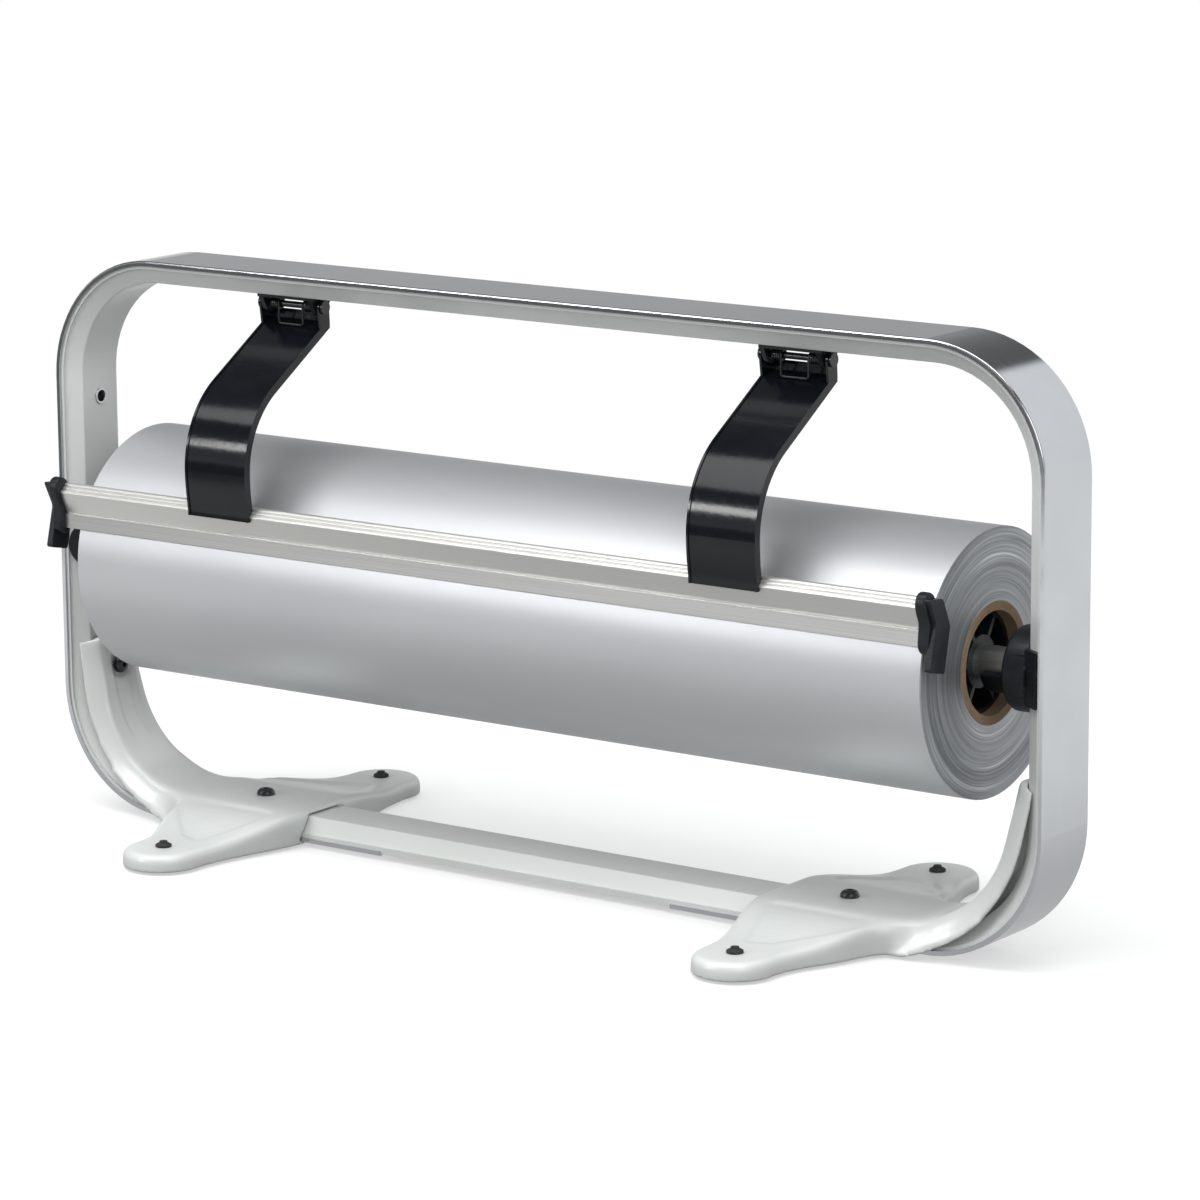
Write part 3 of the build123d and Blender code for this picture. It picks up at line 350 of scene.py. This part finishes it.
def extruded_aluminium():
    """Cutting bar: satin anodised, with die lines along its length."""
    f = Finish("aluminium", (0.68, 0.675, 0.65), metallic=0.8, roughness=0.38)
    lines = f.noise(f.stretched((1.5, 2400, 2400)), detail=3, roughness=0.6)
    f.tint(lines, (0.655, 0.650, 0.628), (0.705, 0.700, 0.678))
    f.polish(f.noise(f.stretched((60, 900, 900)), detail=2), 0.32, 0.42)
    f.bump(lines, 0.00001, 0.35)
    return f


def ground_steel():
    """Tear edge: ground along its length."""
    f = Finish("steel", (0.70, 0.70, 0.69), metallic=1.0, roughness=0.3)
    lines = f.noise(f.stretched((6, 1800, 1800)), detail=3)
    f.tint(lines, (0.64, 0.64, 0.63), (0.76, 0.76, 0.75))
    f.bump(lines, 0.00003, 0.4)
    return f


FINISHES = {
    "painted": painted,
    "chrome": chrome,
    "zinc": zinc,
    "black_steel": blackened_steel,
    "rubber": rubber,
    "black_plastic": moulded_plastic,
    "black_gloss": gloss_black,
    "rod_steel": tube_steel,
    "wrap": wrap,
    "board": board,
    "aluminium": extruded_aluminium,
    "steel": ground_steel,
}
made = {name: build().material for name, build in FINISHES.items()}
for node in frame["nodes"].values():
    for slot in node.material_slots:
        slot.material = made[slot.material.name.split(".")[0]]


# ---- pieces that stand for plainer solids -----------------------------------------------
def place(piece, node, body, slot):
    """Puts a new piece on its body, in the place of a CAD node."""
    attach(piece, body)
    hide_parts(node)


def smoothed(data):
    """Smooth shading, with hard edges at the creases."""
    for polygon in data.polygons:
        polygon.use_smooth = True
    data.set_sharp_from_angle(angle=CREASE)


def new_piece(name, data, material):
    """An object with one finish, in the scene."""
    data.materials.clear()
    data.materials.append(made[material])
    smoothed(data)
    piece = bpy.data.objects.new(name, data)
    bpy.context.scene.collection.objects.link(piece)
    return piece


def settled(piece):
    """Applies a piece's modifiers."""
    graph = bpy.context.evaluated_depsgraph_get()
    graph.update()
    data = bpy.data.meshes.new_from_object(piece.evaluated_get(graph))
    piece.modifiers.clear()
    piece.data = data
    return piece


def mesh_data(name, mesh):
    """Mesh data from a bmesh, which is used up."""
    data = bpy.data.meshes.new(name)
    mesh.to_mesh(data)
    mesh.free()
    return data


def skinned(mesh, rings):
    """Quads between neighbouring rings of points, and a face on each end."""
    count = len(rings[0])
    for ring, following in zip(rings, rings[1:]):
        for index in range(count):
            beyond = (index + 1) % count
            mesh.faces.new((ring[index], ring[beyond], following[beyond], following[index]))
    mesh.faces.new(reversed(rings[0]))
    mesh.faces.new(rings[-1])


def full_turn(steps):
    """Angles all the way round."""
    return [2 * pi * step / steps for step in range(steps)]


def prism(name, outline, low_x, high_x):
    """Extrusion along X of a closed outline of (y, z) points, in metres."""
    mesh = bmesh.new()
    skinned(mesh, [[mesh.verts.new((x, y, z)) for y, z in outline] for x in (low_x, high_x)])
    bmesh.ops.recalc_face_normals(mesh, faces=mesh.faces)
    return mesh_data(name, mesh)


def lathe(name, profile, steps=96):
    """Turned body about the roll's axis from (x, radius) points that start and end on it."""
    mesh = bmesh.new()
    circle = [(cos(turn), sin(turn)) for turn in full_turn(steps)]
    skinned(mesh, [
        [mesh.verts.new((x, ROD_Y + radius * y, ROD_Z + radius * z)) for y, z in circle]
        for x, radius in profile
    ])
    bmesh.ops.recalc_face_normals(mesh, faces=mesh.faces)
    return mesh_data(name, mesh)


def rounded(points, radius, steps=4):
    """Closed outline with every corner rounded."""
    longest_reach = 0.45        # share of the shorter side next to the corner
    result = []
    for index, point in enumerate(points):
        corner = Vector(point)
        before = Vector(points[index - 1]) - corner
        after = Vector(points[(index + 1) % len(points)]) - corner
        reach = min(radius, before.length * longest_reach, after.length * longest_reach)
        start = corner + before.normalized() * reach
        end = corner + after.normalized() * reach
        for step in range(steps + 1):
            share = step / steps
            result.append(tuple(
                (1 - share) ** 2 * start + 2 * share * (1 - share) * corner + share ** 2 * end
            ))
    return result


def bevelled(piece, width):
    """Rounds a piece's sharp edges."""
    bevel = piece.modifiers.new("bevel", "BEVEL")
    bevel.width = width
    bevel.segments = 3
    bevel.limit_method = "ANGLE"
    bevel.angle_limit = radians(35)
    return settled(piece)


def combined(piece, other, operation):
    """UNION, DIFFERENCE or INTERSECT of two pieces. The second is used up."""
    boolean = piece.modifiers.new("boolean", "BOOLEAN")
    boolean.operation = operation
    boolean.solver = "EXACT"
    boolean.object = other
    settled(piece)
    bpy.data.objects.remove(other)
    smoothed(piece.data)
    return piece


def evened(piece):
    """Large flat faces keep their own shading next to thin ones."""
    even = piece.modifiers.new("even", "WEIGHTED_NORMAL")
    even.keep_sharp = True
    return piece


def on_roll(points):
    """Millimetres behind the roll's front and above the rod's axis, to metres."""
    return [(ROLL_FRONT + y * MM, ROD_Z + z * MM) for y, z in points]


# ---- cutting bar ------------------------------------------------------------------------
# Three ribs on its top, a slanted face and a lip that holds the tear edge
BAR_TOP_FRONT = Vector((0.2, 41.7))
BAR_NOSE = Vector((-3.7, 37.5))
BAR_REST = (
    (-3.3, 36.4), (0.75, 26.4), (0.05, 26.3), (0.0, 20.1), (2.55, 20.1), (3.3, 26.3), (2.4, 41.7),
)
BAR_CORNER = 0.28
RIB_GROOVES = (0.30, 0.64)      # places along the top, as shares
GROOVE_HALF = 0.42              # half width at the top
GROOVE_FLOOR = 0.3              # the floor's width, as a share of the top's
GROOVE_DEPTH = 0.55


def bar_outline():
    """The bar's section, in millimetres on the roll."""
    down = (BAR_NOSE - BAR_TOP_FRONT).normalized()
    inward = Vector((-down.y, down.x))
    outline = [tuple(BAR_TOP_FRONT)]
    for share in RIB_GROOVES:
        middle = BAR_TOP_FRONT.lerp(BAR_NOSE, share)
        outline += [
            tuple(middle - down * GROOVE_HALF),
            tuple(middle - down * GROOVE_HALF * GROOVE_FLOOR + inward * GROOVE_DEPTH),
            tuple(middle + down * GROOVE_HALF * GROOVE_FLOOR + inward * GROOVE_DEPTH),
            tuple(middle + down * GROOVE_HALF),
        ]
    return rounded(outline + [tuple(BAR_NOSE), *BAR_REST], BAR_CORNER)


bar_low, bar_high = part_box("cutting_bar")
bar_data = prism("cutting_bar_ribbed", on_roll(bar_outline()), bar_low[0], bar_high[0])
place(new_piece("cutting_bar_ribbed", bar_data, "aluminium"), "cutting_bar", "cutter", "aluminium")

# ---- end caps ---------------------------------------------------------------------------
# A chevron plate outside, and a rounded finger that hugs the bar's end
CHEVRON = ((-6.8, 42.5), (4.7, 41.3), (10.9, 28.2), (6.2, 6.5), (-6.0, 9.2), (-0.8, 29.7))
FINGER = (
    (-1.6, 45.2), (-5.4, 43.8), (-6.9, 39.6), (-5.6, 34.6), (-3.4, 30.4), (-3.9, 25.4),
    (-4.4, 20.0), (-2.4, 16.2), (1.6, 15.6), (4.2, 19.6), (4.8, 28.0), (4.2, 36.0), (2.4, 43.0),
)
CHEVRON_CORNER, FINGER_CORNER = 1.6, 4.0
FINGER_CORNER_STEPS = 5
PLATE_THICKNESS = 3.6 * MM
FINGER_SINK = 1.0 * MM          # the finger runs this far into the plate
FINGER_GAP = 0.1 * MM           # between bar and finger
PLATE_BEVEL, FINGER_BEVEL = 0.7 * MM, 1.3 * MM

for node, side in (("end_cap_left", -1), ("end_cap_right", 1)):
    low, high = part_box(node)
    outside = high[0] if side > 0 else -low[0]
    plate_inside = outside - PLATE_THICKNESS
    plate = prism(
        "chevron", on_roll(rounded(CHEVRON, CHEVRON_CORNER)), side * plate_inside, side * outside
    )
    hug = prism(
        "finger", on_roll(rounded(FINGER, FINGER_CORNER, FINGER_CORNER_STEPS)),
        side * (bar_high[0] + FINGER_GAP), side * (plate_inside + FINGER_SINK),
    )
    cap = bevelled(new_piece(node + "_formed", plate, "black_plastic"), PLATE_BEVEL)
    finger = bevelled(new_piece("finger", hug, "black_plastic"), FINGER_BEVEL)
    place(evened(combined(cap, finger, "UNION")), node, "cutter", "black_plastic")

# ---- bearings ---------------------------------------------------------------------------
# The flange is a cup that reaches to the upright: distance from the middle and radius
CUP = (
    (268.1, 8.0), (268.1, 16.6), (268.5, 18.2), (269.4, 19.4), (270.8, 20.0), (279.6, 20.0),
    (280.6, 19.0), (280.6, 8.0),
)
# The clip's leg on the left upright's front keeps only what lies in a circle about Y
LUG_X, LUG_RADIUS = -274.0 * MM, 14.3 * MM
LUG_STEPS = 96
LEG_FRONT, LEG_BACK = -26.0 * MM, -12.95 * MM
LEG_OUTSIDE, LEG_INSIDE = -300.0 * MM, -280.1 * MM
LEG_LOW, LEG_HIGH = 118.0 * MM, 160.0 * MM


def leg_circle():
    """What is kept of the left leg."""
    mesh = bmesh.new()
    middle = Matrix.Translation((LUG_X, (LEG_FRONT + LEG_BACK) / 2, ROD_Z))
    bmesh.ops.create_cone(
        mesh, cap_ends=True, segments=LUG_STEPS, radius1=LUG_RADIUS, radius2=LUG_RADIUS,
        depth=LEG_BACK - LEG_FRONT, matrix=middle @ Matrix.Rotation(pi / 2, 4, "X"),
    )
    return new_piece("circle", mesh_data("circle", mesh), "black_plastic")


def leg_box():
    """What is cut off the left clip before the kept part goes back on."""
    corners = [
        (LEG_FRONT, LEG_LOW), (LEG_BACK, LEG_LOW), (LEG_BACK, LEG_HIGH), (LEG_FRONT, LEG_HIGH)
    ]
    return new_piece("box", prism("box", corners, LEG_OUTSIDE, LEG_INSIDE), "black_plastic")


for node, side in (("bearing_left", -1), ("bearing_right", 1)):
    clip = new_piece(node + "_cupped", frame["nodes"][node].data.copy(), "black_plastic")
    if side < 0:
        leg = new_piece("leg", clip.data.copy(), "black_plastic")
        combined(leg, leg_circle(), "INTERSECT")
        combined(clip, leg_box(), "DIFFERENCE")
        combined(clip, leg, "UNION")
    cup = lathe("cup", [(side * x * MM, radius * MM) for x, radius in CUP])
    combined(clip, new_piece("cup", cup, "black_plastic"), "UNION")
    place(evened(clip), node, "frame", "black_plastic")

# ---- feet -------------------------------------------------------------------------------
# Pressed metal, so every edge is soft and the arm has a channel down its middle. The places
# are millimetres from the machine's middle on the right foot, with Y without its sign.
VOXEL = 0.9 * MM
RIM_HEIGHTS = (2.0, 7.0)        # softening comes in over these heights
RIM_ROUNDS = 10
WAIST_MIDDLE = (222.0, 27.0, 19.0)
WAIST_SPREAD = (20.0, 11.0, 13.0)
ARM_FROM_X, ARM_FROM_Y, ARM_FROM_Z = (236.0, 250.0), (5.0, 9.0), (20.0, 32.0)
ARM_SHARE = 0.6                 # the arm is softened this much of what the waist is
FLOW_HEIGHTS = (3.0, 8.0)
FLOW_ROUNDS = 70
SOFTENING = 0.5                 # share of the way to the neighbours' middle in a round
ARM_BEND = (218.0, 69.8)        # middle of the arm's bend, X and Z
ARM_STRAIGHT_Z = 59.0           # the arm is straight above this height
ARM_STRAIGHT_BLEND = (-6.0, 2.0)
ARM_LEAN = radians(12.0)
CHANNEL_DEPTH = 1.5
CHANNEL_SIDE = (4.5, 7.5)       # from the floor's edge to the top
CHANNEL_FROM_Z, CHANNEL_FROM_X = (33.0, 46.0), (238.0, 246.0)
RIB_HEIGHT, RIB_PLACE, RIB_SPREAD = 0.6, 9.2, 1.5
SMALLEST = 0.001                # keeps a point on the bend's middle from dividing by 0


def ease(values, limits):
    """0 below the first limit, 1 above the second, with a smooth step between."""
    low, high = limits
    share = np.clip((values - low) / (high - low), 0.0, 1.0)
    return share * share * (3.0 - 2.0 * share)


def hump(values, middle, spread):
    """1 in the middle, falling off to both sides."""
    return np.exp(-((values - middle) / spread) ** 2)


def relax(places, edges, strength, rounds):
    """Moves each point towards the middle of its neighbours."""
    first, second = edges[:, 0], edges[:, 1]
    count = len(places)
    degree = np.maximum(np.bincount(edges.ravel(), minlength=count), 1)
    for _ in range(rounds):
        for axis in range(3):
            column = places[:, axis]
            total = np.bincount(first, weights=column[second], minlength=count)
            total += np.bincount(second, weights=column[first], minlength=count)
            places[:, axis] = column + strength * (total / degree - column)


def soften(places, edges):
    """All edges soften, and the arm runs into the wings in a wide hollow."""
    x, y = places[:, 0].copy(), np.abs(places[:, 1])
    z = places[:, 2]            # a view, so it follows the points as they move
    relax(places, edges, SOFTENING * ease(z, RIM_HEIGHTS), RIM_ROUNDS)
    waist = np.ones(len(places))
    for values, middle, spread in zip((x, y, z), WAIST_MIDDLE, WAIST_SPREAD):
        waist *= hump(values, middle, spread)
    arm = ease(x, ARM_FROM_X) * ease(z, ARM_FROM_Z) * ease(y, ARM_FROM_Y)
    flow = np.maximum(waist, ARM_SHARE * arm) * ease(z, FLOW_HEIGHTS)
    relax(places, edges, SOFTENING * flow, FLOW_ROUNDS)


def press_channel(places):
    """A channel round the arm's screw, with a soft rib each side."""
    x, off, z = places.T
    to_bend = np.stack([ARM_BEND[0] - x, ARM_BEND[1] - z], axis=1)
    to_bend /= np.maximum(np.linalg.norm(to_bend, axis=1), SMALLEST)[:, None]
    straight = np.array([-cos(ARM_LEAN), sin(ARM_LEAN)])
    limits = [ARM_STRAIGHT_Z + offset for offset in ARM_STRAIGHT_BLEND]
    upper = ease(z, limits)[:, None]
    facing = to_bend * (1 - upper) + straight * upper
    length = ease(z, CHANNEL_FROM_Z) * ease(x, CHANNEL_FROM_X)
    channel = -CHANNEL_DEPTH * (1 - ease(np.abs(off), CHANNEL_SIDE))
    rib = RIB_HEIGHT * hump(np.abs(off), RIB_PLACE, RIB_SPREAD)
    move = (channel + rib) * length
    places[:, 0] += facing[:, 0] * move
    places[:, 2] += facing[:, 1] * move


def read(collection, name, width, kind):
    """A mesh attribute as an array with a row for each item."""
    values = np.empty(len(collection) * width, dtype=kind)
    collection.foreach_get(name, values)
    return values.reshape(-1, width)


for node, side in (("foot_left", -1), ("foot_right", 1)):
    foot = new_piece(node + "_pressed", frame["nodes"][node].data.copy(), "painted")
    remesh = foot.modifiers.new("remesh", "REMESH")
    remesh.mode = "VOXEL"
    remesh.voxel_size = VOXEL
    data = settled(foot).data
    edges = read(data.edges, "vertices", 2, np.int32)
    to_right_foot = np.array([side, 1.0, 1.0])
    places = read(data.vertices, "co", 3, np.float64) / MM * to_right_foot
    soften(places, edges)
    press_channel(places)
    data.vertices.foreach_set("co", (places * MM * to_right_foot).ravel())
    data.update()
    for polygon in data.polygons:
        polygon.use_smooth = True
    place(foot, node, "frame", "painted")

# ---- hinge springs ----------------------------------------------------------------------
WIRE = 0.6 * MM                 # radius
WIRE_SIDES = 10
COIL = 2.5 * MM                 # radius of the turns' middle line
COIL_TURNS = 4.25
COIL_PITCH = 1.25 * MM
COIL_STEPS = 20                 # per turn
LEG_OUT = 7.6 * MM              # legs each side of the lever's middle
LEG_BEND = 1.5 * MM
LEG_BEND_STEPS = 6
TAIL = 4.0 * MM


def spring_path(middle, pin_y, pin_z, cross_z):
    """Double torsion spring: tail, turns, leg, cross and the same again, mirrored."""
    front = pin_y - COIL
    half = [Vector((0.0, front, cross_z))]
    for step in range(LEG_BEND_STEPS + 1):
        angle = step / LEG_BEND_STEPS * pi / 2
        out = LEG_OUT - LEG_BEND + LEG_BEND * sin(angle)
        half.append(Vector((out, front, cross_z + LEG_BEND * (1 - cos(angle)))))
    for step in range(int(COIL_TURNS * COIL_STEPS) + 1):
        turns = step / COIL_STEPS
        angle = 2 * pi * turns
        half.append(Vector((
            LEG_OUT + COIL_PITCH * turns, pin_y - COIL * cos(angle), pin_z + COIL * sin(angle),
        )))
    half.append(half[-1] + Vector((0, TAIL, 0)))
    mirrored = [Vector((-point.x, point.y, point.z)) for point in reversed(half[1:])]
    return [point + Vector((middle, 0, 0)) for point in mirrored + half]


def wire(name, path):
    """Round wire along a path, with flat ends."""
    mesh = bmesh.new()
    rings = []
    across = Vector((0, 0, 1))
    for index, point in enumerate(path):
        along = (path[min(index + 1, len(path) - 1)] - path[max(index - 1, 0)]).normalized()
        across = (across - along * across.dot(along)).normalized()
        beside = along.cross(across)
        rings.append([
            mesh.verts.new(point + WIRE * (cos(turn) * across + sin(turn) * beside))
            for turn in full_turn(WIRE_SIDES)
        ])
    skinned(mesh, rings)
    return new_piece(name, mesh_data(name, mesh), "black_steel")


pins_low, pins_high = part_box("hinge_pins")
pin_y = (pins_low[1] + pins_high[1]) / 2
pin_z = (pins_low[2] + pins_high[2]) / 2
for node in ("spring_left", "spring_right"):
    low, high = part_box(node)
    path = spring_path((low[0] + high[0]) / 2, pin_y, pin_z, low[2] + WIRE)
    place(wire(node + "_wound", path), node, "cutter", "black_steel")


# ---- floor ------------------------------------------------------------------------------
FLOOR_HALF = 6.0
FADE = (0.36, 0.80)             # distances over which the table fades into the white
SHADOW_SOFTENING = 0.5          # share of the table's own light in what the camera sees
DARK_ROOM = (0.75, 1.15)        # distances to the front left where the table ends
TABLE_BRIGHT, ROOM_DARK = 0.92, 0.15
OWN_SHADE = (0.15, 0.70)        # distances over which the object's shade ends
SHADE_LEVEL = 0.55


def floor():
    """White table top. The camera sees it fade into the white beyond; it keeps the shadow."""
    half = FLOOR_HALF
    corners = [(-half, -half, 0), (half, -half, 0), (half, half, 0), (-half, half, 0)]
    mesh = bpy.data.meshes.new("floor")
    mesh.from_pydata(corners, [], [(0, 1, 2, 3)])
    plane = bpy.data.objects.new("floor", mesh)
    bpy.context.scene.collection.objects.link(plane)
    material = bpy.data.materials.new("floor")
    material.use_nodes = True
    w = Wiring(material.node_tree)
    w.tree.nodes.clear()
    path = w.node("LightPath")
    coordinates = w.node("TexCoord").outputs["Object"]
    far = w.node("VectorMath", operation="LENGTH")
    w.link(coordinates, far.inputs[0])
    # to the camera
    lit = w.shader("BsdfDiffuse", (0.98, 0.98, 0.98, 1))
    white = w.shader("Emission", strength=1.0)
    faint = w.mix_shaders(SHADOW_SOFTENING, lit, white)
    shown = w.mix_shaders(w.spread(far.outputs["Value"], FADE), faint, white)
    # metal sees the pale table end to the front and left, and the darker room beyond
    towards = w.node("VectorMath", operation="DOT_PRODUCT")
    w.link(coordinates, towards.inputs[0])
    w.put((-0.7, -0.7, 0.0), towards.inputs[1])
    front = w.spread(towards.outputs["Value"], DARK_ROOM, (TABLE_BRIGHT, ROOM_DARK))
    # and under the object the table lies in its shade
    shade = w.spread(far.outputs["Value"], OWN_SHADE, (SHADE_LEVEL, 1.0))
    mirrored = w.shader("Emission", strength=w.times(front, shade))
    dim = w.shader("BsdfDiffuse", (0.14, 0.14, 0.137, 1))
    plain = w.mix_shaders(path.outputs["Is Glossy Ray"], dim, mirrored)
    both = w.mix_shaders(path.outputs["Is Camera Ray"], plain, shown)
    w.link(both, w.node("OutputMaterial").inputs["Surface"])
    mesh.materials.append(material)


# ---- world ------------------------------------------------------------------------------
# What metal sees, from the horizon (0) up to the zenith (1)
ROOM_GREYS = (
    (0.0, 0.78), (0.08, 0.55), (0.20, 0.31), (0.36, 0.20), (0.52, 0.13), (0.70, 0.10), (1.0, 0.14),
)
ROOM_TINT = (1.0, 1.005, 1.015)
WALL_COLOUR = (0.90, 0.915, 0.93, 1)
WALL_X, WALL_Y = (-0.05, 0.04), (0.30, 0.55)    # directions where the pale wall begins
SOFT_COLOUR = (0.97, 0.985, 1.0, 1)
SOFT_SIDES, SOFT_ABOVE = 0.36, 0.95             # the room's own light, horizon to zenith


def world():
    """White to the camera. Metal sees a pale horizon under a greyer room."""
    sky = bpy.data.worlds.new("studio")
    bpy.context.scene.world = sky
    sky.use_nodes = True
    w = Wiring(sky.node_tree)
    w.tree.nodes.clear()
    path = w.node("LightPath")
    x, y, z = w.split(w.node("TexCoord").outputs["Generated"])
    room = w.ramp(z, [
        (height, tuple(grey * tint for tint in ROOM_TINT)) for height, grey in ROOM_GREYS
    ])
    wall = w.times(w.spread(x, WALL_X), w.spread(y, WALL_Y))
    mirrored = w.shader("Background", w.mix(wall, room, WALL_COLOUR))
    # the room's own light comes from above more than from its walls
    ceiling = w.spread(z, (0.0, 1.0), (SOFT_SIDES, SOFT_ABOVE))
    soft = w.shader("Background", SOFT_COLOUR, ceiling)
    white = w.shader("Background", (1, 1, 1, 1))
    glossy = w.mix_shaders(path.outputs["Is Glossy Ray"], soft, mirrored)
    clear = w.maths("MAXIMUM", path.outputs["Is Camera Ray"], path.outputs["Is Transmission Ray"])
    both = w.mix_shaders(clear, glossy, white)
    w.link(both, w.node("OutputWorld").inputs["Surface"])


# ---- lamps ------------------------------------------------------------------------------
def lamp(name, position, aim, size, power, colour):
    """Area lamp: metres, and watts."""
    data = bpy.data.lights.new(name, "AREA")
    data.shape = "RECTANGLE"
    data.size, data.size_y = size
    data.energy = power
    data.color = colour
    lamp_object = bpy.data.objects.new(name, data)
    bpy.context.scene.collection.objects.link(lamp_object)
    turn = (Vector(aim) - Vector(position)).to_track_quat("-Z", "Y").to_matrix().to_4x4()
    lamp_object.matrix_world = Matrix.Translation(position) @ turn


floor()
world()
# The key makes the roll's upper highlight, the window the band on the levers
lamp("key", (-1.0, -0.95, 1.88), (0.0, 0.0, 0.14), (1.0, 1.3), 12.0, (1.0, 0.997, 0.99))
lamp("window", (-1.26, -1.93, 0.83), (0.0, 0.0, 0.17), (0.85, 0.27), 11.0, (1.0, 1.0, 1.0))
lamp("fill", (1.9, -1.3, 1.15), (-0.05, 0.0, 0.12), (1.6, 1.2), 14.0, (0.99, 1.0, 1.0))
lamp("overhead", (0.25, -0.55, 1.9), (0.0, 0.0, 0.12), (1.8, 1.0), 19.0, (0.99, 0.995, 1.0))


# ---- camera -----------------------------------------------------------------------------
AZIMUTH, ELEVATION, ROLL = radians(35.77), radians(11.83), radians(-0.43)
PLACE = (1.41931, -1.92325, 0.63988)
LENS, SENSOR = 151.13, 36.0
FARTHEST = 50.0

back = Vector((sin(AZIMUTH) * cos(ELEVATION), -cos(AZIMUTH) * cos(ELEVATION), sin(ELEVATION)))
level = Vector((cos(AZIMUTH), sin(AZIMUTH), 0.0))
upward = back.cross(level)
right = cos(ROLL) * level + sin(ROLL) * upward
top = cos(ROLL) * upward - sin(ROLL) * level

camera_data = bpy.data.cameras.new("camera")
camera_data.lens = LENS
camera_data.sensor_width = SENSOR
camera_data.clip_end = FARTHEST
camera = bpy.data.objects.new("camera", camera_data)
bpy.context.scene.collection.objects.link(camera)
camera.matrix_world = Matrix.Translation(PLACE) @ Matrix((right, top, back)).transposed().to_4x4()
bpy.context.scene.camera = camera
bpy.context.scene.view_settings.view_transform = "Standard"
